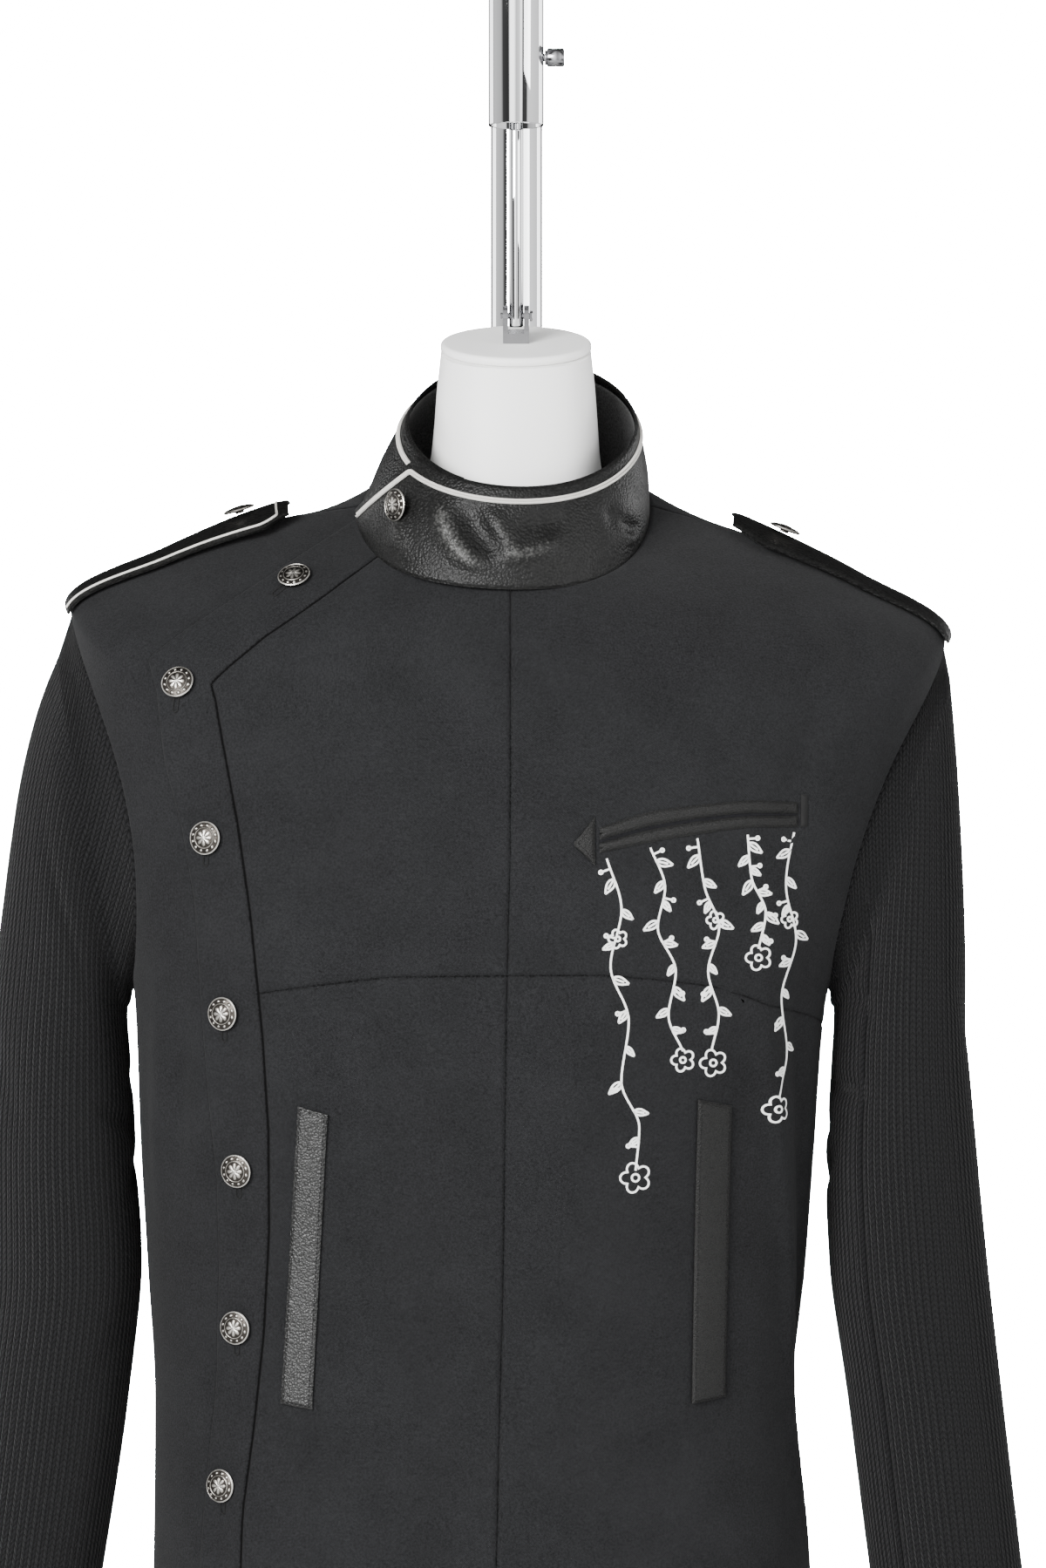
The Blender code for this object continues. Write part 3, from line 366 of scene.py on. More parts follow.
class Finish(Nodes):
    """A material with its Principled shader and short ways to pattern it."""

    def __init__(self, name, colour, roughness, metallic=0.0):
        self.material = bpy.data.materials.new(name)
        self.material.use_nodes = True
        super().__init__(self.material.node_tree)
        self.shader = self.tree.nodes["Principled BSDF"]
        self.set(Base_Color=(*colour, 1), Roughness=roughness, Metallic=metallic)

    def set(self, **sockets):
        for name, value in sockets.items():
            self.shader.inputs[name.replace("_", " ")].default_value = value

    def noise(self, scale, detail=3.0, where="Object", stretch=(1, 1, 1)):
        """Noise between 0 and 1 with this many waves a metre, or a unit of the cut."""
        mapping = self.tree.nodes.new("ShaderNodeMapping")
        mapping.inputs["Scale"].default_value = stretch
        self.link(self.places.outputs[where], mapping.inputs["Vector"])
        node = self.tree.nodes.new("ShaderNodeTexNoise")
        node.inputs["Scale"].default_value = scale
        node.inputs["Detail"].default_value = detail
        self.link(mapping.outputs[0], node.inputs["Vector"])
        return node.outputs["Fac"]

    def pebbles(self, scale):
        """Distance to the nearest of many scattered centres, this many a metre."""
        node = self.tree.nodes.new("ShaderNodeTexVoronoi")
        node.inputs["Scale"].default_value = scale
        self.link(self.places.outputs["Object"], node.inputs["Vector"])
        return node.outputs["Distance"]

    def cut(self):
        """Both coordinates of the piece's own cut."""
        return self.axes("UV")[:2]

    def relief(self):
        """The number that every point of the piece carries."""
        node = self.tree.nodes.new("ShaderNodeAttribute")
        node.attribute_name = "relief"
        return node.outputs["Fac"]

    def colour(self, factor, *stops):
        """Gives the shader a colour that runs through the stops, each a place and a colour."""
        self.link(self.ramp(factor, *stops), self.shader.inputs["Base Color"])

    def polish(self, value):
        """Gives the shader a roughness that varies."""
        self.link(value, self.shader.inputs["Roughness"])

    def fit(self, value, low, high):
        """A value between 0 and 1 brought between low and high."""
        return self.sum("MULTIPLY_ADD", value, high - low, low)

    def bump(self, *heights):
        """Adds bumps one on another, each given as a pattern and its depth in millimetres."""
        normal = None
        for height, depth in heights:
            node = self.tree.nodes.new("ShaderNodeBump")
            node.inputs["Distance"].default_value = depth * MM
            self.link(height, node.inputs["Height"])
            if normal is not None:
                self.link(normal, node.inputs["Normal"])
            normal = node.outputs["Normal"]
        self.link(normal, self.shader.inputs["Normal"])


def tones(colour, *shares):
    """Darker and lighter kinds of a colour, by shares of it."""
    return [[c * share for c in colour] for share in shares]


print("half and double of a grey:", tones((0.2, 0.2, 0.2), 0.5, 2))

# %% Finishes of cloth, leather and thread
WEAVE_PITCH = 1.1
# How far a stitch's legs rise, in rows, from the middle of the wale to its edge
STITCH_LEAN = 1.7
BRAID_PITCH, BRAID_SLANT = 0.9, 7.0


def suiting_finish(name, colour):
    """Matt wool: a diagonal weave on the cut, a nap of fine noise, and faint cloudiness.

    The attribute relief says how deep in a seam's fold a point is, and blackens it as painted shade.
    """
    finish = Finish(name, colour, 0.9)
    finish.set(Sheen_Weight=0.03, Sheen_Roughness=0.45, Specular_IOR_Level=0.10)
    diagonal = finish.sum("ADD", *finish.cut())
    lines = finish.sum("SINE", finish.sum("MULTIPLY", diagonal, 2 * np.pi / WEAVE_PITCH))
    nap, cloud = finish.noise(950.0, 5.0), finish.noise(28.0, 3.0)
    speckle = finish.sum("ADD", finish.fit(nap, -0.75, 0.75), finish.fit(cloud, 0.3, 0.7))
    # The black tone is painted shade for the seams' folds
    black, dark, light = tones(colour, 0.06, 0.62, 1.45)
    finish.colour(finish.sum("SUBTRACT", speckle, finish.relief()), (0.0, black), (0.22, dark), (0.78, light))
    finish.bump((lines, 0.05), (nap, 0.22))
    return finish.material


def leather_finish(name, colour, roughness, shine, pebble=640.0, depth=0.32):
    """Soft leather: pebbles between fine furrows, and a polish that comes and goes.

    The attribute relief says how far a fold stands out, and such places get a painted highlight and are
    smoother.
    """
    finish = Finish(name, colour, roughness)
    finish.set(Specular_IOR_Level=shine)
    grain, furrow, fold = finish.pebbles(pebble), finish.noise(pebble * 1.9, 4.0), finish.relief()
    uneven = finish.fit(finish.noise(60.0, 4.0), roughness - 0.10, roughness + 0.16)
    finish.polish(finish.sum("SUBTRACT", uneven, finish.fit(fold, 0.0, 0.14)))
    # The last tone, eighteen times the leather's own, is a painted highlight on the folds
    black, dark, light, highlight_tone = tones(colour, 0.3, 0.6, 1.4, 18.0)
    worn = finish.sum("SUBTRACT", 0.42, finish.fit(grain, 0.0, 0.4))
    # Painted highlight on the folds, broken up by noise
    highlight_spread = finish.sum("MULTIPLY", fold, finish.fit(finish.noise(420.0, 3.0), 0.1, 0.9))
    finish.colour(finish.sum("ADD", worn, highlight_spread), (0.0, black), (0.12, dark), (0.4, light), (1.0, highlight_tone))
    finish.bump((finish.sum("MULTIPLY", grain, -1.0), depth), (furrow, depth * 0.5))
    return finish.material


def knit_finish(name, colour):
    """Stocking stitch: in each cell of the cut two legs lean out from the middle of the wale, as a V.

    A leg's height is the sine across it, times a rounded wave along it whose phase moves with the distance
    from the middle. Loose fibres blur it as noise.
    """
    finish = Finish(name, colour, 0.95)
    finish.set(Sheen_Weight=0.05, Sheen_Roughness=0.5, Specular_IOR_Level=0.08)
    across, rise = finish.cut()
    wobble = finish.fit(finish.noise(0.9, 2.0, "UV"), -0.2, 0.2)
    aside = finish.sum("ABSOLUTE", finish.sum("SUBTRACT", finish.sum("FRACT", across), 0.5))
    leg = finish.sum("SINE", finish.sum("MULTIPLY", aside, 2 * np.pi))
    lean = finish.sum("MULTIPLY", aside, STITCH_LEAN)
    phase = finish.sum("SUBTRACT", finish.sum("ADD", rise, wobble), lean)
    wave = finish.sum("SINE", finish.sum("MULTIPLY", finish.sum("FRACT", phase), np.pi))
    loop = finish.fit(finish.sum("POWER", wave, 0.6), 0.15, 1)
    stitch = finish.sum("MULTIPLY", finish.sum("POWER", leg, 0.6), loop)
    fibre = finish.noise(2200.0, 4.0)
    yarn = finish.sum("ADD", finish.fit(stitch, 0, 0.75), finish.fit(fibre, -0.25, 0.5))
    dark, light = tones(colour, 0.3, 2.4)
    finish.colour(yarn, (0.15, dark), (0.9, light))
    finish.bump((stitch, 0.9), (fibre, 0.22))
    return finish.material


def braid_finish(name, colour):
    """Flat braid: slanting threads on the cut, whose first value runs along the braid."""
    finish = Finish(name, colour, 0.7)
    finish.set(Sheen_Weight=0.02, Specular_IOR_Level=0.2)
    along, across = finish.cut()
    aside = finish.sum("MULTIPLY", finish.sum("ABSOLUTE", across), BRAID_SLANT)
    slant = finish.sum("ADD", finish.sum("MULTIPLY", along, 2 * np.pi / BRAID_PITCH), aside)
    thread = finish.fit(finish.sum("SINE", slant), 0.0, 0.5)
    fibre = finish.noise(2500.0, 3.0)
    yarn = finish.sum("ADD", thread, finish.fit(fibre, 0, 0.5))
    finish.colour(yarn, (0.05, *tones(colour, 0.66)), (0.55, colour))
    finish.bump((thread, 0.22), (fibre, 0.08))
    return finish.material


print("weave lines", WEAVE_PITCH, "mm apart, braid threads", BRAID_PITCH, "mm")

# %% Finishes of metal, satin, ink and floor, and all of them by name
def silver_finish(name):
    """Antique silver: bright on what stands out and nearly black in the hollows, with fine scratches."""
    finish = Finish(name, (0.5, 0.48, 0.45), 0.3, 1.0)
    scratch = finish.noise(900.0, 5.0, stretch=(1, 6, 1))
    worn = finish.sum("ADD", finish.relief(), finish.fit(scratch, -0.22, 0.18))
    finish.colour(
        worn, (0.12, (0.04, 0.036, 0.032)), (0.42, (0.22, 0.208, 0.188)), (0.8, (0.53, 0.512, 0.478)),
    )
    finish.polish(finish.fit(scratch, 0.24, 0.46))
    finish.bump((scratch, 0.03))
    return finish.material


def satin_finish(name, colour):
    """Satin cover: a fine stretch jersey under a soft gloss."""
    finish = Finish(name, colour, 0.45)
    finish.set(Sheen_Weight=0.1, Specular_IOR_Level=0.4)
    finish.colour(finish.noise(9.0, 2.0), (0.3, *tones(colour, 0.95)), (0.7, colour))
    finish.bump((finish.noise(1400.0, 2.0, stretch=(1, 1, 0.25)), 0.05))
    return finish.material


def metal_finish(name, colour, roughness, grain, stretch):
    """Metal whose polish varies along drawn or brushed lines."""
    finish = Finish(name, colour, roughness, 1.0)
    line = finish.noise(grain, 4.0, stretch=stretch)
    finish.polish(finish.fit(line, roughness * 0.6, roughness * 1.6))
    finish.bump((line, 0.004))
    return finish.material


def ink_finish(name, colour):
    """Screen print: a matt film that the weave shows through."""
    finish = Finish(name, colour, 0.75)
    weave = finish.noise(1500.0, 4.0)
    finish.colour(weave, (0.3, *tones(colour, 0.7)), (0.45, colour))
    finish.bump((weave, 0.12))
    return finish.material


def floor_finish():
    """Painted board: even and pale, with the faintest mottle."""
    finish = Finish("floor_paint", (0.82, 0.82, 0.82), 0.7)
    finish.polish(finish.fit(finish.noise(3.0), 0.6, 0.8))
    return finish.material


suiting = suiting_finish("suiting", (0.0102, 0.0104, 0.0111))
facing = suiting_finish("facing", (0.045, 0.045, 0.045))
# Cloth of the pocket's slit, darker than the suiting: painted shade of its opening
slit_shade_cloth = suiting_finish("pocket_inside", (0.006, 0.006, 0.007))
leather = leather_finish("leather", (0.0052, 0.0052, 0.0050), 0.36, 0.18)
welt_leather = leather_finish("welt_leather", (0.0085, 0.0085, 0.0082), 0.38, 0.18, 1300.0)
grained_leather = leather_finish("grained_leather", (0.0095, 0.0095, 0.0092), 0.3, 0.5, 750.0, 0.6)
knit = knit_finish("knit", (0.0048, 0.0048, 0.0051))
braid = braid_finish("braid", (0.86, 0.84, 0.79))
thread = braid_finish("thread", (0.005, 0.005, 0.005))
silver = silver_finish("antique_silver")
satin = satin_finish("form_cover", (0.96, 0.96, 0.945))
chrome = metal_finish("chrome", (0.76, 0.765, 0.775), 0.035, 40.0, (1, 1, 0.05))
worn_chrome = metal_finish("worn_chrome", (0.28, 0.28, 0.29), 0.16, 300.0, (1, 1, 1))
steel = metal_finish("brushed_steel", (0.52, 0.52, 0.53), 0.32, 500.0, (1, 0.05, 1))
ink = ink_finish("print_ink", (0.92, 0.92, 0.90))
floor.data.materials.append(floor_finish())
print(len(bpy.data.materials), "finishes")

# %% [markdown]
# ## The body's surface
# All cloth of the body lies on one surface, as if the jacket were knitted in the round. A place on it is
# an angle, nought at centre front and a quarter turn at the wearer's left, and a ring, the height at
# centre front. The rings come from a short table of the jacket's own widths and depths.

# %% Rings of the body, in millimetres
FULLNESS = 0.11
BODY_COLUMNS = (
    "front_z", "front_y", "side_y", "left_z", "right_z", "back_z", "back_y", "left_x", "centre_x", "right_x",
    "ridge",
)
BODY_RINGS = np.array((
    (141, -117, 4, 141, 141, 141, 122, -212, -13, 172, 1.0),
    (226, -114, 4, 226, 226, 226, 119, -208, -11, 168, 1.0),
    (325, -108, 2, 325, 325, 325, 104, -207, -9, 160, 1.0),
    (400, -109, 0, 400, 400, 400, 93, -211, -7, 166, 1.0),
    (470, -117, 0, 470, 470, 472, 98, -215, -6, 171, 1.0),
    (548, -125, 0, 548, 548, 556, 110, -218, -5, 177, 1.3),
    (600, -124, 3, 630, 624, 622, 117, -232, -4, 204, 1.5),
    (645, -119, 7, 706, 695, 672, 120, -245, -3, 228, 1.6),
    (690, -112, 10, 776, 758, 722, 117, -256, -3, 247, 1.6),
    (725, -104, 12, 807, 793, 772, 106, -200, -3, 195, 1.5),
    (755, -95, 12, 827, 818, 818, 90, -143, -3, 137, 1.25),
    (784, -82, 10, 836, 836, 865, 66, -88, -3, 77, 1.0),
), float)
HEM, NECK = BODY_RINGS[0, 0], BODY_RINGS[-1, 0]
CLOTH, KNIT, LEATHER = 1.8, 2.4, 1.6
LAP = CLOTH + 0.7


def oval(value, angle):
    """Oval whose corners stand FULLNESS proud: x goes with the angle's sine and depth with its cosine.

    Height goes from the side's to the front's or back's as the depth to the power ridge. value gives a ring's
    measure by its name.
    """
    sine, cosine = np.sin(angle), np.cos(angle)
    depth = np.abs(cosine) * (1 + FULLNESS * sine**2)
    centre_x, side_y = value("centre_x"), value("side_y")
    side_x = np.where(sine < 0, value("left_x"), value("right_x"))
    side_z = np.where(sine < 0, value("left_z"), value("right_z"))
    end_y = np.where(cosine > 0, value("front_y"), value("back_y"))
    end_z = np.where(cosine > 0, value("front_z"), value("back_z"))
    x = centre_x + (side_x - centre_x) * np.abs(sine) * (1 + FULLNESS * cosine**2)
    y = side_y + (end_y - side_y) * depth
    z = side_z + (end_z - side_z) * depth ** value("ridge")
    return np.stack(np.broadcast_arrays(x, y, z), -1)


def ring_value(name, ring, table=BODY_RINGS):
    """A column of the table at any ring, on a smooth curve through its rows."""
    return smooth(ring, table[:, 0], table[:, BODY_COLUMNS.index(name)])


def body_point(angle, ring):
    """Point of the jacket's outside at an angle, on a ring."""
    return oval(lambda name: ring_value(name, ring), angle)


def body_slopes(angle, ring):
    """Change of the body's point with the angle and with the ring, over a small turn and a small step."""
    spin, step = 0.04, 2.0
    low, high = np.clip(ring - step, HEM, NECK), np.clip(ring + step, HEM, NECK)
    by_angle = (body_point(angle + spin, ring) - body_point(angle - spin, ring)) / (2 * spin)
    by_ring = (body_point(angle, high) - body_point(angle, low)) / (high - low)[..., None]
    return by_angle, by_ring


print("neck seam at centre back:", body_point(np.pi, np.array(NECK)).round(1))

# %% [markdown]
# ## Creases
# Worn cloth is never smooth. Each crease is a soft trough or ridge along a bowed line on the body: its
# height is a bell curve of the distance from that line, which fades in and out at its ends. Those of the
# front follow the photograph, and those of the sides and back are like them, as uneven in length, width
# and depth.

# %% Table and height of the creases
# Each row: angle and ring of one end, the same of the other, bow, half width and height
CREASES = (
    (45, 575, 84, 235, 0, 11, 4.2),
    (57, 590, 97, 240, 0, 15, -5.0),
    (45, 722, 47, 606, 24, 14, -4.0),
    (64, 722, 48, 694, 2, 6, -2.2),
    (29, 747, 18, 698, 3, 10, -2.2),
    (39, 742, 30, 700, 3, 11, 1.6),
    (-12, 742, -8, 675, 2, 12, -2.0),
    (-47, 752, -36, 715, 2, 10, -0.7),
    (-23, 562, -22.5, 478, 3, 9, -2.4),
    (-16, 520, -9, 380, 4, 20, -1.8),
    (-12, 400, -6, 200, -6, 18, -2.6),
    (-19, 330, -13, 170, 0, 12, -2.0),
    (-54, 550, -58, 462, 3, 9, -2.6),
    (-63, 560, -68, 430, 3, 12, 2.0),
    (-50, 370, -45, 200, 4, 9, -1.8),
    (-28.6, 331, -27.5, 296, 1, 5, -1.8),
    (-30, 660, -22, 585, 5, 15, -1.6),
    (34, 325, 33, 285, 1, 6, -1.8),
    (30, 470, 27, 330, 5, 20, -1.6),
    (12, 300, 16, 170, 5, 18, -1.8),
    (128, 700, 141, 560, 6, 14, -3.0),
    (-132, 690, -147, 540, -6, 15, -3.2),
    (-152, 625, -167, 470, -8, 15, -2.6),
    (113, 566, 119, 330, 5, 13, -3.2),
    (-112, 560, -121, 320, -4, 14, -3.0),
    (161, 400, 171, 180, 3, 17, -2.8),
    (-158, 380, -149, 190, 4, 16, -2.5),
    (102, 530, 107, 300, 4, 10, 2.4),
    (-96, 545, -101, 330, 3, 10, 2.6),
    (141, 430, 132, 190, -5, 15, -2.4),
)
BODY_RADIUS = 190.0
FOLD_FADE, NECK_FADE = 2.1, 20.0
# How often each search is repeated
SINE_ROUNDS, SEAM_ROUNDS, HALVINGS = 12, 8, 30


def unrolled(folds, radius, rise=1.0):
    """Rows of folds with their angles in degrees turned to lengths, and their heights times rise."""
    rows = np.array(folds, float)
    rows[:, (0, 2)] = np.radians(rows[:, (0, 2)]) * radius
    rows[:, (1, 3)] *= rise
    return rows


def fold_height(x, y, folds):
    """Sum of soft folds at a place of a surface that is unrolled flat, x and y in millimetres.

    Each fold is a bell curve of the distance from its bowed line, and fades past the line's ends.
    """
    total = np.zeros(np.broadcast(x, y).shape)
    for start_x, start_y, end_x, end_y, bow, half_width, height in folds:
        line = np.array((end_x - start_x, end_y - start_y))
        length = np.hypot(*line)
        line = line / length
        along = ((x - start_x) * line[0] + (y - start_y) * line[1]) / length
        aside = (x - start_x) * line[1] - (y - start_y) * line[0] - bow * np.sin(np.pi * np.clip(along, 0, 1))
        fade = np.exp(-((FOLD_FADE * np.abs(along - 0.5)) ** 4))
        total = total + height * fade * np.exp(-((aside / half_width) ** 2))
    return total


BODY_FOLDS = unrolled(CREASES, BODY_RADIUS)


def crease_height(angle, ring):
    """Height of the creases at a place of the body, unrolled on a cylinder of BODY_RADIUS."""
    angle = np.mod(angle + np.pi, 2 * np.pi) - np.pi
    return fold_height(angle * BODY_RADIUS, ring, BODY_FOLDS) * ease((NECK - ring) / NECK_FADE)


def on_body(angle, ring, height=0.0):
    """Point at a height above the creased outside, along the unit cross product of the body's slopes."""
    angle, ring = np.broadcast_arrays(np.asarray(angle, float), np.asarray(ring, float))
    normal = unit(np.cross(*body_slopes(angle, ring)))
    lift = np.asarray(height, float) + crease_height(angle, ring)
    return body_point(angle, ring) + normal * lift[..., None]


def front_angle(x, ring):
    """Angle of the front's point with this x: the oval's x solved for the sine by repeating it."""
    centre_x = ring_value("centre_x", ring)
    side_x = np.where(x < centre_x, ring_value("left_x", ring), ring_value("right_x", ring))
    share = np.clip((x - centre_x) / (side_x - centre_x), 0, 1)
    sine = share
    for _ in range(SINE_ROUNDS):
        sine = share / (1 + FULLNESS - FULLNESS * sine**2)
    return np.arcsin(np.clip(sine, 0, 1)) * np.where(x < centre_x, -1, 1)


def locate(places):
    """Angle and ring of points of the front, given as rows of x and z. The ring is found by halving."""
    x, z = np.array(places, float)[..., 0], np.array(places, float)[..., 1]
    low, high = np.full(x.shape, HEM), np.full(x.shape, NECK)
    for _ in range(HALVINGS):
        middle = (low + high) / 2
        under = body_point(front_angle(x, middle), middle)[..., 2] < z
        low, high = np.where(under, middle, low), np.where(under, high, middle)
    return front_angle(x, low), low


print(len(CREASES), "creases, deepest", BODY_FOLDS[:, 6].min(), "mm")

# %% [markdown]
# ## The wool panels
# A tailor cuts the body as eight panels: two backs, a right front that reaches under the lap, the button
# band, an upper and a lower piece between the band and the centre seam, and two left fronts that meet at
# the chest seam. Each is a thin shell on the body's surface between two seams. Near a seam the cloth
# turns down, as it does where it is sewn and pressed, and the finish paints shade into that fold, so the
# seam shows as a fine line. A grid that crowds towards the seams gives those turns with few faces.

# %% Seams, as x and z seen from the front
BAND_OUTER = (
    (-90, 826), (-137, 793), (-185, 761), (-206, 745), (-200, 726), (-195, 687), (-185, 650), (-178, 611),
    (-174, 548), (-170, 496), (-166, 457), (-165, 404), (-167, 349), (-172, 295), (-176, 237), (-180, 141),
)
BAND_INNER = (
    (-68, 809), (-107, 779), (-139, 757), (-161, 738), (-169, 730), (-166, 720), (-160, 689), (-153, 652),
    (-146, 605), (-139, 536), (-136, 484), (-136, 428), (-139, 371), (-145, 315), (-151, 270), (-155, 141),
)
CHEST_SEAM = ((-150, 558), (-68, 569), (0, 570), (47, 570), (81, 567), (115, 562), (139, 552), (177, 536))
UNDERARM, TIP = 558.0, 690.0
ARMHOLE_HALF, UNDERLAP, LAP_FADE = np.radians((27, 7, 24))
FINE_GAP, SEAM_POINTS = 0.03, 8
TURN_DOWN, TURN_WIDTH, SEAM_SHADE = 1.1, 1.2, 0.55
# Distances of a grid's first rows from its edge
EDGE_ROWS = (0, 0.5, 1.1, 2.0, 3.4)
# How dark a seam's painted shade is
FAINT, PLAIN, CRISP = 0.4, 0.7, 1.25
STEP, ARMHOLE_ROWS, SHOULDER_RUN = 4.2, 41, 140.0


def seam_by_ring(places):
    """A seam that runs up the front, straight between its places, as a function from ring to angle."""
    places, knots = np.array(places, float), np.arange(len(places))
    between = np.linspace(0, knots[-1], SEAM_POINTS * len(places))
    angle, ring = locate(np.stack([np.interp(between, knots, places[:, i]) for i in (0, 1)], -1))
    order = np.argsort(ring)
    return lambda at: np.interp(at, ring[order], angle[order])


def armhole_half(ring):
    """Half the armhole's width, as an angle: an ellipse from the underarm's ring to the shoulder tip's."""
    share = (2 * ring - UNDERARM - TIP) / (TIP - UNDERARM)
    return ARMHOLE_HALF * np.sqrt(np.clip(1 - share**2, 0, 1))


def side_edge(side, half):
    """Side seam, armhole edge and shoulder seam in one, towards the front (half 1) or the back (half -1)."""
    return lambda ring: side * (np.pi / 2 - half * armhole_half(ring))


def crowded(length, step):
    """Shares from 0 to 1 for a grid of this length: close rows at both ends and even ones between."""
    ends = np.array(EDGE_ROWS) / length
    middle = np.linspace(ends[-1], 1 - ends[-1], max(2, int(length / step)))[1:-1]
    return np.concatenate([ends, middle, 1 - ends[::-1]])


def panel_rings(parts):
    """Rings of a panel's rows: even below and above the armhole, and crowded at its ends beside it."""
    beside = (UNDERARM + TIP) / 2 - (TIP - UNDERARM) / 2 * np.cos(np.linspace(0, np.pi, ARMHOLE_ROWS))
    below = HEM + (UNDERARM - HEM) * crowded(UNDERARM - HEM, STEP)
    above = TIP + (NECK - TIP) * crowded(SHOULDER_RUN, STEP)
    rows = {"below": below, "beside": beside, "above": above}
    return np.unique(np.concatenate([rows[part] for part in parts]).round(4))


def panel(left, right, rings, columns, height, foot=None, head=None, seams=(PLAIN, PLAIN)):
    """Angles, rings, heights and seam shade of a grid between two edges that are functions of the ring.

    foot and head, functions of the angle, move the first and last row. The height falls near the panel's
    edges by TURN_DOWN times a bell curve of the distance to the edge. The painted shade is a narrower bell
    curve, times the strength in seams for the left and the right edge.
    """
    share = columns[None, :]
    climb = (rings - rings[0])[:, None] / (rings[-1] - rings[0])
    ends = []
    for end, seam in ((rings[0], foot), (rings[-1], head)):
        ring = np.full(share.shape, float(end))
        for _ in range(SEAM_ROUNDS if seam else 0):
            ring = seam(left(ring) + share * (right(ring) - left(ring)))
        ends.append(ring)
    ring = ends[0] + climb * (ends[1] - ends[0])
    angle = left(ring) + share * (right(ring) - left(ring))
    by_angle, by_ring = (np.linalg.norm(slope, axis=-1) for slope in body_slopes(angle, ring))
    wide = np.abs(right(ring) - left(ring)) * by_angle
    tall = (ends[1] - ends[0]) * by_ring
    to_edge = np.minimum(np.minimum(share, 1 - share) * wide, np.minimum(climb, 1 - climb) * tall)
    inward = np.where(share == 0, FINE_GAP, 0) - np.where(share == 1, FINE_GAP, 0)
    top = height(angle, ring) - TURN_DOWN * np.exp(-((to_edge / TURN_WIDTH) ** 2))
    # Painted shade for the seams: bell curves of the distance to each edge
    near = [np.exp(-((distance / SEAM_SHADE) ** 2)) for distance in (share * wide, (1 - share) * wide)]
    ends_near = np.exp(-((np.minimum(climb, 1 - climb) * tall / SEAM_SHADE) ** 2)) * FAINT
    shade = np.maximum.reduce([near[0] * seams[0], near[1] * seams[1], ends_near])
    return angle + inward / by_angle, ring, top, shade


def cut_size(points):
    """Widest row, longest column and area of a grid of points, in metres: the flat cut before it is worn."""
    row = np.linalg.norm(np.diff(points, axis=1), axis=-1).sum(axis=1).max()
    column = np.linalg.norm(np.diff(points, axis=0), axis=-1).sum(axis=0).max()
    a, b = points[1:, 1:] - points[:-1, :-1], points[1:, :-1] - points[:-1, 1:]
    area = np.linalg.norm(np.cross(a, b), axis=-1).sum() / 2
    return (row * MM, column * MM), min(area * MM * MM, row * column * MM * MM)


CUTS = {}
NARROWEST = 0.0105


def declare(piece, points):
    """Says that a piece is a sheet of cloth, cut to the size that its plain grid of points has.

    A rolled edge shows less than it is cut to, so its cut is at least as wide as NARROWEST.
    """
    (width, length), area = cut_size(points)
    if min(width, length) < NARROWEST:
        width, length = max(width, NARROWEST), max(length, NARROWEST)
        area = width * length
    CUTS[piece.name] = (width, length, area)


def wool_panel(
    node, left, right, parts, width, height, foot=None, head=None, ends=None, seams=(PLAIN, PLAIN),
):
    """Shell for a wool panel: its outside at the panel's height and its inside a cloth's thickness below."""
    low, high = ends or (HEM, NECK)
    if len(parts) == 1:
        rings = low + (high - low) * crowded(high - low, STEP)
    else:
        rings = np.unique(np.clip(panel_rings(parts), low, high))
    angle, ring, top, shade = panel(left, right, rings, crowded(width, STEP), height, foot, head, seams)
    outer, inner = on_body(angle, ring, top), on_body(angle, ring, height(angle, ring) - CLOTH)
    cut = np.stack([angle * BODY_RADIUS, ring], -1)
    piece = shell("cloth_" + node, outer, inner, uv=(cut, cut), values=shade)
    dress(piece, suiting, node)
    declare(piece, body_point(angle, ring))
    return piece


def flat(angle, ring):
    """No height above the body."""
    return np.zeros(np.broadcast(angle, ring).shape)


print("sampled edge shares:", crowded(100.0, 25.0).round(3))

# %% Panels
band_outer, band_inner = seam_by_ring(BAND_OUTER), seam_by_ring(BAND_INNER)
chest_angle, chest_ring = locate(CHEST_SEAM)


def lapped(angle, ring):
    """Height of the lapped front: a full lap on the band, easing to none towards centre front."""
    return LAP * (1 - ease((angle - band_inner(ring)) / LAP_FADE))


def under_edge(ring):
    """Edge of the right front, which reaches under the band by UNDERLAP."""
    return band_outer(ring) + UNDERLAP * ease((NECK + 30 - ring) / 60)


def chest(angle):
    """The chest seam's ring at an angle."""
    return np.interp(angle, chest_angle, chest_ring)


def turned_by(angle):
    """An edge at one angle on every ring."""
    return lambda ring: np.full(np.shape(ring), angle)


WHOLE, UPPER, LOWER = ("below", "beside", "above"), ("beside", "above"), ("below",)
SIDE_FOOT = CHEST_SEAM[-1][1]
middle = turned_by(0.0)
panels = [
    wool_panel("front_right", side_edge(-1, 1), under_edge, WHOLE, 90, flat),
    wool_panel("front_band", band_outer, band_inner, WHOLE, 40, lapped, seams=(FAINT, CRISP)),
    wool_panel("plastron_upper", band_inner, middle, UPPER, 150, lapped, foot=chest, seams=(CRISP, FAINT)),
    wool_panel(
        "plastron_lower", band_inner, middle, LOWER, 150, lapped, head=chest, ends=(HEM, UNDERARM),
        seams=(CRISP, FAINT),
    ),
    wool_panel(
        "chest_left", middle, side_edge(1, 1), UPPER, 190, flat, foot=chest, ends=(SIDE_FOOT, NECK),
        seams=(FAINT, PLAIN),
    ),
    wool_panel(
        "front_lower_left", middle, side_edge(1, 1), LOWER, 220, flat, head=chest, ends=(HEM, SIDE_FOOT),
        seams=(FAINT, PLAIN),
    ),
    wool_panel("back_left", side_edge(1, -1), turned_by(np.pi), WHOLE, 220, flat),
    wool_panel("back_right", turned_by(-np.pi), side_edge(-1, -1), WHOLE, 220, flat),
]
print(len(panels), "wool panels with", triangles(*panels), "triangles")

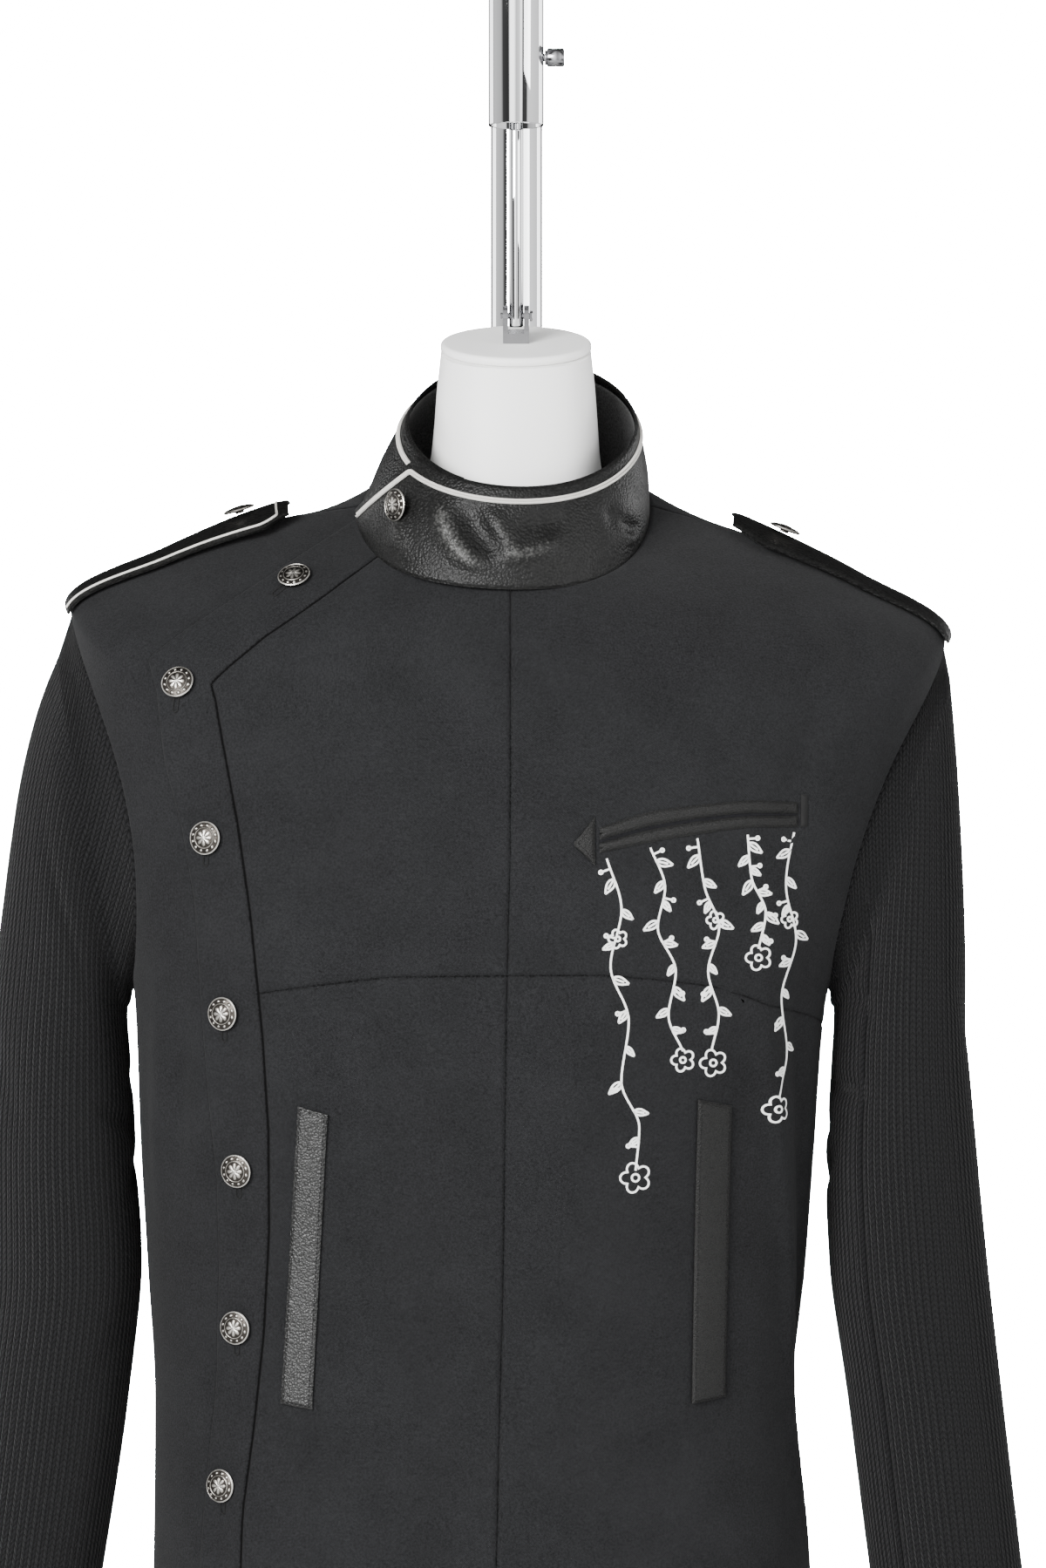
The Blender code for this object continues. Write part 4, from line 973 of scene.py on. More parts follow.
# %% [markdown]
# ## The knit sleeves
# Chunky stocking stitch shows as wales, columns of V stitches that run down the arm. The sleeve is a tube
# through ovals between its outer and inner edge. Real relief lifts each wale and sinks the furrow between
# two of them, and the finish draws the V stitches in the same cells, so both fall together. One deeper
# furrow is the sleeve's seam. Soft troughs gather at the elbow and the underarm.

# %% Sleeve tables, in millimetres
# The wearer's right and left sleeve share the heights of the inner edge and the places front to back
SLEEVE_COLUMNS = ("outer_x", "outer_z", "inner_x", "inner_z", "mid_y", "half_y")
RIGHT_EDGES = (
    (-262, 750, -222), (-273, 722, -224), (-284, 678, -224), (-293, 615, -222.5), (-301, 540, -220),
    (-304, 470, -218), (-304, 400, -215), (-312, 325, -222), (-324, 225, -236), (-336, 128, -252),
)
LEFT_EDGES = (
    (249, 735, 181), (251, 712, 183), (254, 670, 183), (257, 605, 182), (259, 530, 180),
    (264, 465, 178), (270, 400, 180), (278, 325, 190), (289, 225, 202), (300, 128, 216),
)
BOTH_SLEEVES = (
    (549, 6, 55), (545, 6, 57), (538, 6, 59), (520, 6, 60), (488, 5, 60),
    (452, 3, 59), (400, 0, 57), (325, -5, 54), (228, -12, 49), (134, -18, 44),
)
SLEEVES = {
    name: np.column_stack([np.array(edges, float), np.array(BOTH_SLEEVES, float)])
    for name, edges in (("sleeve_right", RIGHT_EDGES), ("sleeve_left", LEFT_EDGES))
}
# Each row: degrees round the arm and climb from the cuff of both ends, half width and height
SLEEVE_CREASES = np.array((
    (150, 0.40, 215, 0.47, 0.02, -2.6),
    (120, 0.52, 190, 0.50, 0.018, -2.2),
    (175, 0.60, 250, 0.54, 0.02, -2.4),
    (210, 0.80, 250, 0.62, 0.025, -2.0),
    (20, 0.55, 80, 0.44, 0.03, -1.4),
    (-60, 0.62, 10, 0.52, 0.03, -1.6),
    (100, 0.20, 160, 0.28, 0.03, -1.2),
    (250, 0.30, 320, 0.22, 0.03, -1.3),
    (60, 0.78, 120, 0.70, 0.03, -1.6),
), float)
ARMHOLE_CLEAR, CAP_DEPTH = 3.0, 6.0
WALES, WALE_POINTS, KNIT_ROW = 72, 5, 3.4
WALE_RELIEF, SEAM_RELIEF, SEAM_WALE = 0.75, 1.3, 47
SLEEVE_ROWS, INSIDE_ROWS = 196, 14
CAP_SLANT, EDGE_SLANT, CAP_ROWS = 0.2, 0.66, 6


def armhole_loop(side, turn):
    """The armhole's edge, from the shoulder tip round by increasing turn: an ellipse in angle and ring."""
    ring = (UNDERARM + TIP) / 2 + (TIP - UNDERARM) / 2 * np.cos(turn)
    return body_point(side * np.pi / 2 + ARMHOLE_HALF * np.sin(turn), ring)


def sleeve_rings(rows, side, count, turn):
    """Rings of a sleeve from the cuff up: ovals between its outer and inner edges, then those to the armhole.

    The turn falls by CAP_SLANT and then EDGE_SLANT times its sine towards the armhole, so that the wales run
    up the arm and into it.
    """
    knots = np.arange(len(rows), dtype=float)
    at = np.linspace(0, len(rows) - 1, count)
    value = {name: smooth(at, knots, rows[:, i])[:, None] for i, name in enumerate(SLEEVE_COLUMNS)}
    slanted = turn[None, :] - CAP_SLANT * ease(1 - at / 3.5)[:, None] * np.sin(turn)[None, :]
    cosine, sine = np.cos(slanted), np.sin(slanted)
    reach = cosine * (1 + FULLNESS * sine**2)
    x = (value["outer_x"] + value["inner_x"]) / 2 + (value["outer_x"] - value["inner_x"]) / 2 * reach
    y = value["mid_y"] + side * value["half_y"] * sine * (1 + FULLNESS * cosine**2)
    z = (value["outer_z"] + value["inner_z"]) / 2 + (value["outer_z"] - value["inner_z"]) / 2 * reach
    arm = np.stack([x, y, z], -1)[::-1]
    middle = armhole_loop(side, turn).mean(axis=0)
    edge = armhole_loop(side, turn - EDGE_SLANT * np.sin(turn))
    edge = edge + unit(middle - edge) * ARMHOLE_CLEAR
    share = (np.arange(CAP_ROWS) + 1.0)[:, None, None] / CAP_ROWS
    cap = arm[-1] + (edge - arm[-1]) * share
    inside = edge - np.array([side * CAP_DEPTH, 0, 0])
    return np.concatenate([arm, cap, inside[None]])


def sleeve_crease(turn, climb):
    """Troughs across the arm: each a bell curve of the distance, in climb, from a slanting line."""
    total = np.zeros(np.broadcast(turn, climb).shape)
    degrees = np.degrees(turn)
    for start, low, end, high, half_width, height in SLEEVE_CREASES:
        for lap in (-360, 0, 360):
            along = np.clip((degrees + lap - start) / (end - start), 0, 1)
            aside = (climb - low - along * (high - low)) / half_width
            total += height * np.exp(-(aside**2)) * np.sin(np.pi * along)
    return total


def knit_sleeve(name):
    """Sleeve whose outside rises in a bow over each wale and sinks deeper at the seam's furrow."""
    rows = SLEEVES[name]
    side = np.sign(rows[0, 0])
    turn = turns(WALES * WALE_POINTS)
    plain = sleeve_rings(rows, side, SLEEVE_ROWS, turn)
    normal = grid_normals(plain, around=True)
    climb = np.linspace(0, 1, len(plain))[:, None]
    wale = np.arange(len(turn)) / WALE_POINTS
    furrow = np.abs(np.mod(wale, 1) - 0.5) * 2
    seam = np.exp(-(((wale - SEAM_WALE) / 0.35) ** 2))
    relief = -WALE_RELIEF * furrow**2 - SEAM_RELIEF * seam + 0.2
    ends = ease(climb * 60) * (0.7 + 0.3 * ease((0.9 - climb) / 0.3)) * ease((1 - climb) * 30)
    outer = plain + normal * (relief[None, :] * ends + sleeve_crease(turn[None, :], climb))[..., None]
    pick = np.unique(np.linspace(0, len(plain) - 1, INSIDE_ROWS).round().astype(int))
    inner = plain[pick] - normal[pick] * KNIT
    closed = np.concatenate([plain, plain[:, :1]], axis=1)
    knit_row = np.linalg.norm(np.diff(closed, axis=0, prepend=closed[:1]), axis=-1).cumsum(axis=0) / KNIT_ROW
    across = np.append(wale, WALES)[None, :]
    cut = [np.stack(np.broadcast_arrays(across, rise), -1) for rise in (knit_row, knit_row[pick])]
    piece = shell("knit_" + name, outer, inner, around=True, uv=cut)
    dress(piece, knit, name)
    declare(piece, closed)
    return piece


sleeves = [knit_sleeve(name) for name in SLEEVES]
print("sleeves with", triangles(*sleeves), "triangles, cut", CUTS["knit_sleeve_left"])

# %% [markdown]
# ## The leather collar
# The collar is one strip of leather that goes once round the neck and laps over its own start. It is
# soft, so it buckles where the button pulls it. Its base follows the neck seam and its rim is a tilted
# oval, and between them the surface is a straight blend with a slight bulge. Folds are bell curves along
# short lines, as on the body, and the finish is told where they stand out, and paints a
# highlight there.

# %% Collar surface
COLLAR_RIM = {"left_x": -62, "right_x": 69, "front_y": -74, "back_y": 54, "front_z": 841, "back_z": 924}
COLLAR_LIFT, COLLAR_LAP, COLLAR_BULGE = 0.6, 4.4, 2.0
COLLAR_END_BASE, COLLAR_END_RIM, COLLAR_START = np.radians((-84, -57, 330))
COLLAR_RADIUS, COLLAR_HEIGHT = 76.0, 66.0
# Folds of the collar: angle and share of its height at both ends, bow, half width and height
COLLAR_FOLDS = (
    (-34, 0.72, -10, 0.10, 2.0, 6, 3.2),
    (-23, 0.76, -5, 0.30, 1.0, 7, -3.0),
    (-12, 0.72, 0, 0.26, -1.0, 5, 2.2),
    (-4, 0.27, 16, 0.42, 1.5, 6, 2.0),
    (2, 0.60, 20, 0.62, 0.0, 8, -2.0),
    (41, 0.60, 62, 0.14, 1.5, 5, -3.2),
    (46, 0.46, 60, 0.06, 1.0, 4, 1.8),
    (-50, 0.42, -42, 0.10, 0.0, 6, 1.5),
    (96, 0.62, 118, 0.16, 2.0, 7, -2.2),
    (150, 0.66, 172, 0.24, 2.0, 8, -2.0),
    (205, 0.60, 190, 0.16, -2.0, 7, -1.8),
    (248, 0.62, 262, 0.12, 1.0, 7, -2.2),
)
NECK_FOLDS = unrolled(COLLAR_FOLDS, COLLAR_RADIUS, COLLAR_HEIGHT)


def collar_end(share):
    """Angle of the top layer's end at a share of the collar's height."""
    return COLLAR_END_BASE + (COLLAR_END_RIM - COLLAR_END_BASE) * share


def collar_fold(angle, share):
    """Height of the collar's folds, which fade at its base and rim."""
    height = fold_height(angle * COLLAR_RADIUS, share * COLLAR_HEIGHT, NECK_FOLDS)
    return height * ease(share * 5) * ease((1 - share) * 5)


def collar_point(angle, share, out=0.0):
    """Point of the collar's outside, at a share of its height and a distance out from it.

    The top layer stands out by COLLAR_LAP until it has passed the start of the strip below it, and then eases
    down to the neck seam.
    """
    lap = 1 - ease((angle - COLLAR_START + 2 * np.pi - np.radians(6)) / np.radians(90))
    sine, cosine = np.sin(angle), np.cos(angle)
    base = body_point(angle, np.full(np.shape(angle), NECK))
    base[..., 2] += COLLAR_LIFT + 2.2 * lap
    rim_x, half_x = [(COLLAR_RIM["right_x"] + k * COLLAR_RIM["left_x"]) / 2 for k in (1, -1)]
    mid_y, half_y = [(COLLAR_RIM["back_y"] + k * COLLAR_RIM["front_y"]) / 2 for k in (1, -1)]
    mid_z, half_z = [(COLLAR_RIM["back_z"] + k * COLLAR_RIM["front_z"]) / 2 for k in (1, -1)]
    top = np.stack([rim_x + half_x * sine, mid_y - half_y * cosine, mid_z - half_z * cosine], -1)
    away = np.stack([sine, -cosine, np.zeros(np.shape(angle))], -1)
    reach = (COLLAR_LAP * lap + COLLAR_BULGE * np.sin(np.pi * share) + out)[..., None]
    return base + (top - base) * np.asarray(share)[..., None] + away * reach


def collar_grid(columns, shares, out, folded=True):
    """Grid on the collar between its top layer's end and its start below, at a distance out."""
    share = shares[:, None]
    end = collar_end(share)
    angle = end + columns[None, :] * (COLLAR_START - end)
    extra = collar_fold(angle, share) if folded else 0.0
    return collar_point(angle, share + 0 * angle, out + extra)


print("collar's front height:", round(COLLAR_RIM["front_z"] - NECK), "mm")

# %% Collar, facing and their rolled edges
COLLAR_COLUMNS = crowded(490.0, 1.7)
# The share of its height by which the collar goes on below the neck seam, out of sight
COLLAR_TUCK = 0.06
COLLAR_SHARES = crowded(COLLAR_HEIGHT, 1.6)
# A fold of this height gets the brightest painted highlight
HIGHLIGHT_FOLD = 3.5
FACING_THICK, EDGE_ROLL = 1.5, 1.2


def rolled(shares, height, thickness):
    """How far a wall's face draws in near its top and bottom edge, so that the edge is round."""
    to_edge = np.minimum(shares, 1 - shares) * height
    return thickness * 0.5 * np.exp(-((to_edge / EDGE_ROLL) ** 2))


def collar_wall(name, node, columns, shares, out, thickness, material):
    """Wall on the collar's surface with rounded edges, and values that say how far each fold stands out."""
    draw = rolled((shares - shares[0]) / (shares[-1] - shares[0]), COLLAR_HEIGHT, thickness)[:, None]
    outer = collar_grid(columns, shares, out - draw)
    inner = collar_grid(columns, shares, out - thickness + draw)
    end = collar_end(shares[:, None])
    fold = collar_fold(end + columns[None, :] * (COLLAR_START - end), shares[:, None])
    # The values tell the leather's finish where to paint highlights on the folds
    piece = shell(name, outer, inner, values=np.clip(fold / HIGHLIGHT_FOLD, 0, 1))
    dress(piece, material, node)
    declare(piece, collar_grid(columns, shares, out, folded=False))
    return piece


tucked = COLLAR_SHARES * (1 + COLLAR_TUCK) - COLLAR_TUCK
collar = collar_wall("leather_collar", "collar", COLLAR_COLUMNS, tucked, 0.0, LEATHER, leather)
facing_shares = 0.02 + 0.88 * COLLAR_SHARES
facing_piece = collar_wall(
    "cloth_collar_facing", "collar_facing", COLLAR_COLUMNS[::2], facing_shares, -LEATHER - 0.1, FACING_THICK,
    facing,
)
print("collar with", triangles(collar, facing_piece), "triangles")

# %% [markdown]
# ## Braid and thread
# An off-white braid runs round the collar and turns down along its end. It has two rolls with a groove
# between. Such trims are a section carried along a path: at each point of the path stand two directions,
# one across it and one out of the surface. Stitches are short capsules placed along a path in the same
# way.

# %% Carry a section along a path
def swept(name, path, normals, section, pitch=1.0):
    """Closed solid along a path. The section's rows are distances across the path and above the surface."""
    along = unit(np.gradient(path, axis=0))
    across = unit(np.cross(normals, along))
    above = np.cross(along, across)
    section = np.array(section, float)
    rings = path[:, None] + across[:, None] * section[None, :, :1] + above[:, None] * section[None, :, 1:]
    rows, columns = rings.shape[:2]
    number = np.arange(rows * columns).reshape(rows, columns)
    number = np.concatenate([number, number[:, :1]], axis=1)
    run = np.append(0, np.linalg.norm(np.diff(path, axis=0), axis=1).cumsum()) / pitch
    cut = np.stack(np.broadcast_arrays(run[:, None], np.append(section[:, 0], section[0, 0])[None, :]), -1)
    corner = grid_quads(rows, columns + 1)
    caps = np.stack([number[0, :-1][::-1], number[-1, :-1]])
    marks = [cut.reshape(-1, 2)[corner].reshape(-1, 2), cut[0, :-1][::-1], cut[-1, :-1]]
    return make_mesh(name, rings.reshape(-1, 3), [number.ravel()[corner], caps], marks)


def resampled(path, step):
    """The path again, with points a step apart."""
    run = np.append(0, np.linalg.norm(np.diff(path, axis=0), axis=1).cumsum())
    at = np.linspace(0, run[-1], max(3, int(run[-1] / step)))
    return np.stack([np.interp(at, run, path[:, i]) for i in range(path.shape[1])], -1)


# Half a roll's width, as a share of the braid's
ROLL_HALF = 0.205


def double_roll(width, height, low=0.1):
    """Section of a braid: two half-round rolls side by side, with a groove between them."""
    turn = np.linspace(0, np.pi, 7)
    roll = np.stack([np.cos(turn) * width * ROLL_HALF + width / 4, low + np.sin(turn) * (height - low)], -1)
    other = roll * np.array([-1, 1])
    return np.concatenate([roll, other[::-1][1:]])


STITCH_SIDES, STITCH_ROWS, STITCH_BEND = 6, (0.0, 0.12, 0.5, 0.88, 1.0), 2.2


def stitches(name, paths, pitch, length, radius, dip=0.35):
    """Running stitches as one mesh: capsules along each path of points and normals, a pitch apart.

    A capsule's radius falls towards its ends as the root of one less a fourth power, and its ends dip under
    the surface.
    """
    share = np.array(STITCH_ROWS)
    swell = radius * np.sqrt(np.clip(1 - (2 * share - 1) ** 4, 0.04, 1))
    turn = turns(STITCH_SIDES)
    points, quads, caps, first = [], [], [], 0
    for path, normal in paths:
        both = resampled(np.concatenate([path, normal * 1e-3], axis=1), pitch)
        spot, up = both[:, :3], unit(both[:, 3:])
        along = unit(np.gradient(spot, axis=0))
        across = np.cross(up, along)
        rise = radius * (1 - dip - STITCH_BEND * (share - 0.5) ** 2)
        run = (share - 0.5) * length
        centre = spot[:, None] + along[:, None] * run[:, None] + up[:, None] * rise[:, None]
        cosine, sine = np.cos(turn)[:, None], np.sin(turn)[:, None]
        ring = cosine * across[:, None, None] + sine * up[:, None, None]
        capsule = centre[:, :, None] + ring * swell[:, None, None]
        count = len(spot) * len(share)
        number = first + np.arange(count * STITCH_SIDES).reshape(len(spot), len(share), STITCH_SIDES)
        right = np.roll(number, -1, axis=2)
        sides = np.stack([number[:, :-1], right[:, :-1], right[:, 1:], number[:, 1:]], -1)
        quads.append(sides.reshape(-1, 4)[:, ::-1])
        caps += [number[:, 0], number[:, -1, ::-1]]
        points.append(capsule.reshape(-1, 3))
        first += count * STITCH_SIDES
    piece = make_mesh(name, np.concatenate(points), [np.concatenate(quads), np.concatenate(caps)])
    return dress(piece, thread)


def collar_path(angle, share, out):
    """Points of the folded collar and the directions out of it."""
    path = collar_point(angle, share, out + collar_fold(angle, share))
    by_angle = collar_point(angle + 0.01, share) - collar_point(angle - 0.01, share)
    by_share = collar_point(angle, share + 0.01) - collar_point(angle, share - 0.01)
    return path, unit(np.cross(by_angle, by_share))


PIPING_WIDTH, PIPING_HEIGHT = 3.4, 1.5
PIPING_SHARE, PIPING_INSET, PIPING_TAIL = 0.84, np.radians(5), np.radians(33)


def piping_line(inset, share_top, count):
    """Angle and share along the braid: up beside the collar's end, round the corner and on round the neck."""
    leg = np.linspace(0.03, share_top, 30)
    corner = collar_end(share_top) + inset
    rim_angle = np.linspace(corner + np.radians(1), COLLAR_START - PIPING_TAIL, count)
    angle = np.concatenate([collar_end(leg) + inset, rim_angle])
    share = np.concatenate([leg, np.full(count, share_top)])
    return angle, share


def softened(path, times):
    """The path with each inner point moved half way to its neighbours' mean, which rounds corners."""
    for _ in range(times):
        path[1:-1] = (path[:-2] + 2 * path[1:-1] + path[2:]) / 4
    return path


def braided(name, path, normal, section, rounds):
    """Braid along a path on a surface, with points a millimetre apart and softened corners."""
    both = softened(resampled(np.concatenate([path, normal], axis=1), 1.0), rounds)
    return swept(name, both[:, :3], unit(both[:, 3:]), section)


collar_section = double_roll(PIPING_WIDTH, PIPING_HEIGHT)
piping_path = collar_path(*piping_line(PIPING_INSET, PIPING_SHARE, 420), 0.0)
piping = braided("braid_collar", *piping_path, collar_section, 3)
dress(piping, braid, "collar_piping")
TAIL_POINTS = 60
tail_angle = COLLAR_START - PIPING_TAIL + np.linspace(0.004, PIPING_TAIL - 0.35, TAIL_POINTS)
tail_path = collar_path(tail_angle, np.full(TAIL_POINTS, PIPING_SHARE), 0.0)
tail = braided("braid_collar_tail", *tail_path, collar_section, 1)
dress(tail, braid)
print("braid round the collar with", triangles(piping, tail), "triangles")

# %% [markdown]
# ## Epaulettes
# A strap lies along each shoulder. Its outer end is sewn in at the shoulder tip and its inner end is
# free, held by a button, and springs up a little. The strap is a slab with soft edges: its top and bottom
# draw together as a high power of the distance from its middle. The strap on the wearer's right has a
# fine white braid near its edges.

# %% Straps
EPAULETTES = {"right": -1, "left": 1}
STRAP_START, STRAP_END = 691.5, 762.0
STRAP_HALF, STRAP_THICK, STRAP_LENGTH = 23.0, 3.4, 92.0
STRAP_POWER, STRAP_ROUND = 24, 0.3 * STRAP_THICK
STRAP_LIFT, STRAP_SPRING = 1.3, 5.5


def strap_point(side, share, across, height):
    """Point on an epaulette, at a share of its length from the shoulder tip and from -1 to 1 across it."""
    ring = STRAP_START + (STRAP_END - STRAP_START) * share
    half = STRAP_HALF * (1 - 0.35 * ease((share - 0.86) / 0.14))
    by_angle, _ = body_slopes(side * np.pi / 2 + 0 * ring, ring)
    angle = side * np.pi / 2 + across * half / np.linalg.norm(by_angle, axis=-1)
    return on_body(angle, ring, height + STRAP_LIFT + STRAP_SPRING * share**3)


def strap(hand, side):
    """Closed slab whose top and bottom draw together at all edges, by a high power of the place on it."""
    share, across = np.meshgrid(crowded(STRAP_LENGTH, 2.5), np.linspace(-1, 1, 41), indexing="ij")
    round_off = np.maximum(np.abs(across), np.abs(2 * share - 1)) ** STRAP_POWER * STRAP_ROUND
    top = strap_point(side, share, across, STRAP_THICK - round_off)
    bottom = strap_point(side, share, across, round_off)
    piece = shell("leather_epaulette_" + hand, top, bottom)
    node = "epaulette_" + hand
    dress(piece, leather, node)
    plain = strap_point(side, share, across, STRAP_THICK)
    declare(piece, plain)
    return piece


straps = [strap(hand, side) for hand, side in EPAULETTES.items()]


def strap_braid(inset):
    """Path and normals of a braid that goes up one edge of the right strap, round its end and back."""
    side = EPAULETTES["right"]
    edge, round_end = np.linspace(0.02, 0.93, 60), np.linspace(inset, -inset, 24)
    share = np.concatenate([edge, np.full(24, 0.95), edge[::-1]])
    across = np.concatenate([np.full(60, inset), round_end, np.full(60, -inset)])
    path = strap_point(side, share, across, STRAP_THICK)
    return path, unit(strap_point(side, share, across, STRAP_THICK + 1) - path)


strap_section = double_roll(1.4, 0.9, 0.05)
strap_piping = braided("braid_epaulette", *strap_braid(0.9), strap_section, 4)
dress(strap_piping, braid, "epaulette_piping")
print("straps with", triangles(*straps, strap_piping), "triangles")

# %% [markdown]
# ## Pockets
# Two slanting hand pockets have leather welts, and the chest pocket has two leather jets with a slit
# between them, a stitched triangle at one end and a bar tack at the other. The slit is a sheet on the
# cloth that stands for the pocket's inside, painted darker than the suiting as shade. All lie on the
# body's surface, so each is a small grid between a lower and an upper edge, puffed up a little in the middle.

# %% Pocket tables, as x and z in millimetres
WELTS = {
    "welt_right": (((-129, 332), (-112, 329)), ((-119, 498), (-103, 493))),
    "welt_left": (((97, 331), (116, 334)), ((100, 501), (119, 497))),
}
JET_UPPER = ((46, 651, 644.2), (75, 660, 652.0), (106, 664, 656.8), (133, 666, 659.0), (158, 665, 658.4))
JET_LOWER = ((46, 642.6, 637), (75, 650, 643), (106, 655, 648), (133, 657.4, 651), (158, 657.4, 651))
TAB = (((32, 641), (43.5, 630)), ((32, 643), (43.5, 657)))
TACK = (((159.5, 651), (163, 651)), ((159.5, 669), (163, 669)))


def patch_grid(lower, upper, climb, share):
    """Angles and rings between a lower and an upper edge, each a smooth line through rows of x and z."""
    lower, upper = np.array(lower, float), np.array(upper, float)
    knots = np.linspace(0, 1, len(lower))
    if len(lower) > 2:
        lines = [np.stack([smooth(share, knots, line[:, i]) for i in (0, 1)], -1) for line in (lower, upper)]
    else:
        lines = [line[0] + share[:, None] * (line[1] - line[0]) for line in (lower, upper)]
    places = lines[0][None] + climb[:, None, None] * (lines[1] - lines[0])[None]
    return locate(places)


def patch(node, edges, size, high, low, material, puff, height):
    """Plate on the front. Its top rises by puff in the middle and rounds off at the edges."""
    climb, share = crowded(size[1], 2.0), crowded(size[0], 2.0)
    angle, ring = patch_grid(*edges, climb, share)
    to_end, to_side = np.minimum(climb, 1 - climb) * size[1], np.minimum(share, 1 - share) * size[0]
    to_edge = np.minimum(to_end[:, None], to_side[None])
    crown = puff * ease(to_edge / 6) - (high - low) * 0.45 * np.exp(-((to_edge / 0.8) ** 2))
    under = height(angle, ring)
    outer = on_body(angle, ring, under + high - puff + crown)
    sewn = material is thread
    piece = shell(("thread_" if sewn else "leather_") + node, outer, on_body(angle, ring, under + low))
    dress(piece, material, node)
    if not sewn:
        declare(piece, outer)
    return piece


def jet_edges(rows):
    """A jet's lower and upper edge from its rows of x, top and bottom."""
    x, top, bottom = np.array(rows, float).T
    return np.column_stack([x, bottom]), np.column_stack([x, top])


# Node, edges, width and height, height of its top and bottom above the body, finish, puff and what it lies on
PATCHES = (
    ("welt_right", WELTS["welt_right"], (17, 165), 3.0, 0.9, grained_leather, 0.3, lapped),
    ("welt_left", WELTS["welt_left"], (18, 167), 3.0, 0.9, welt_leather, 0.3, flat),
    ("jet_upper", jet_edges(JET_UPPER), (114, 6.2), 2.2, 0.1, welt_leather, 0.8, flat),
    ("jet_lower", jet_edges(JET_LOWER), (114, 6.0), 2.2, 0.1, welt_leather, 0.8, flat),
    ("pocket_tab", TAB, (12, 20), 2.0, 0.1, welt_leather, 0.2, flat),
    ("pocket_tack", TACK, (3.6, 18), 1.8, 0.1, thread, 0.5, flat),
)
pockets = [patch(*row) for row in PATCHES]

SLIT_INSET = 0.2
slit_rows = [
    (x, top - SLIT_INSET, low + SLIT_INSET) for (x, _, top), (_, low, _) in zip(JET_UPPER, JET_LOWER)
]
angle, ring = patch_grid(*jet_edges(slit_rows), np.linspace(0, 1, 4), np.linspace(0, 1, 60))
# A sheet on the cloth fills the slit, and its dark finish is painted shade of the pocket's inside
slit = shell("pocket_slit", on_body(angle, ring, 0.25), on_body(angle, ring, 0.05))
dress(slit, slit_shade_cloth)
print(len(pockets), "pocket pieces with", triangles(*pockets, slit), "triangles")

# %% [markdown]
# ## Stitching and buttonholes
# Black thread holds the leather down beside its edges, and a worked buttonhole shows below each button.
# The lines are the same functions of the surface as the pieces that they hold.

# %% Stitch lines
def front_line(places, height, lift=flat):
    """Path and normals on the front through rows of x and z."""
    angle, ring = locate(resampled(np.array(places, float), 1.5))
    under = lift(angle, ring) + height
    path = on_body(angle, ring, under)
    return path, unit(on_body(angle, ring, under + 1.0) - path)


def inset_loop(edges, inset):
    """The corners of a patch, moved towards its middle by an inset, as a closed line."""
    (a, b), (d, c) = [np.array(edge, float)[[0, -1]] for edge in edges]
    corners = np.array([a, b, c, d])
    corners = corners + np.sign(corners.mean(axis=0) - corners) * inset
    return np.concatenate([corners, corners[:1]])


welt_lines = [front_line(inset_loop(WELTS["welt_right"], 1.6), 2.75, lapped)]
welt_lines.append(front_line(inset_loop(WELTS["welt_left"], 1.6), 2.75))
tab_lines = [front_line(((34.6, 642), (42.0, 634.0), (42.0, 653.0), (34.6, 642.2)), 1.85)]
seams = [
    stitches("stitches_welts", welt_lines, 2.6, 1.9, 0.28),
    stitches("stitches_tab", tab_lines, 1.7, 1.25, 0.26),
]
collar_lines = []
for offset in (-0.03, 0.03):
    angle, share = piping_line(PIPING_INSET - offset, PIPING_SHARE + offset, 300)
    collar_lines.append(collar_path(angle, share, 0.0))
rim_angle = np.linspace(collar_end(0.97) + 0.02, COLLAR_START - 0.05, 300)
collar_lines.append(collar_path(rim_angle, np.full(300, 0.965), -0.1))
seams.append(stitches("stitches_collar", collar_lines, 2.4, 1.7, 0.2))
print("stitch lines with", triangles(*seams), "triangles")

# %% [markdown]
# ## Buttons
# Each button is a cast silver dome with a ring of beads and an eight-petalled rosette. The face is a
# height map on a polar grid, the sum of a dome, the beads and the petals, and the same relief tells the
# finish where the metal is worn bright and where it has gone dark.

# %% Button shape and places
BUTTON_RADIUS, BUTTON_SEAT = 9.3, 0.05
# Place of a strap's button, as a share of its length, and of the collar's, as angle and share of its height
STRAP_BUTTON, COLLAR_BUTTON = 0.8, (np.radians(-52.0), 0.52)
BAND_BUTTONS = (
    (-124, 789), (-187, 730), (-170, 645), (-160, 548), (-153, 461), (-154, 373), (-163, 284), (-167, 192),
)
BEADS, PETALS = 12, 8
BEAD_CIRCLE, BEAD_SIZE = 0.78, 0.075
FACE_RINGS, FACE_SIDES = 34, 96


def button_face(radius, angle):
    """Relief between 0 and 1 over the dome, from shares of its radius: rim, beads, ring, petals and boss."""
    spot = np.mod(angle * BEADS / (2 * np.pi), 1) - 0.5
    beside = spot * 2 * np.pi / BEADS * BEAD_CIRCLE
    beads = np.clip(1 - (beside**2 + (radius - BEAD_CIRCLE) ** 2) / BEAD_SIZE**2, 0, 1) ** 0.5
    ring = np.exp(-(((radius - 0.62) / 0.025) ** 2)) * 0.7
    rim = ease((radius - 0.90) / 0.04) * 0.9
    lobe = 0.30 + 0.22 * np.abs(np.cos(PETALS / 2 * angle)) ** 0.7
    petals = np.clip(1 - (radius / lobe) ** 4, 0, 1) ** 0.6 * (0.75 + 0.25 * np.cos(PETALS * angle)) * 0.9
    between = np.exp(-((np.sin(PETALS / 2 * (angle + np.pi / PETALS)) / 0.16) ** 2))
    vein = between * ease((0.4 - radius) / 0.1) * 0.5
    boss = np.clip(1 - (radius / 0.13) ** 2, 0, 1) ** 0.5
    return np.maximum.reduce(np.broadcast_arrays(beads, ring, rim, petals - vein, boss))


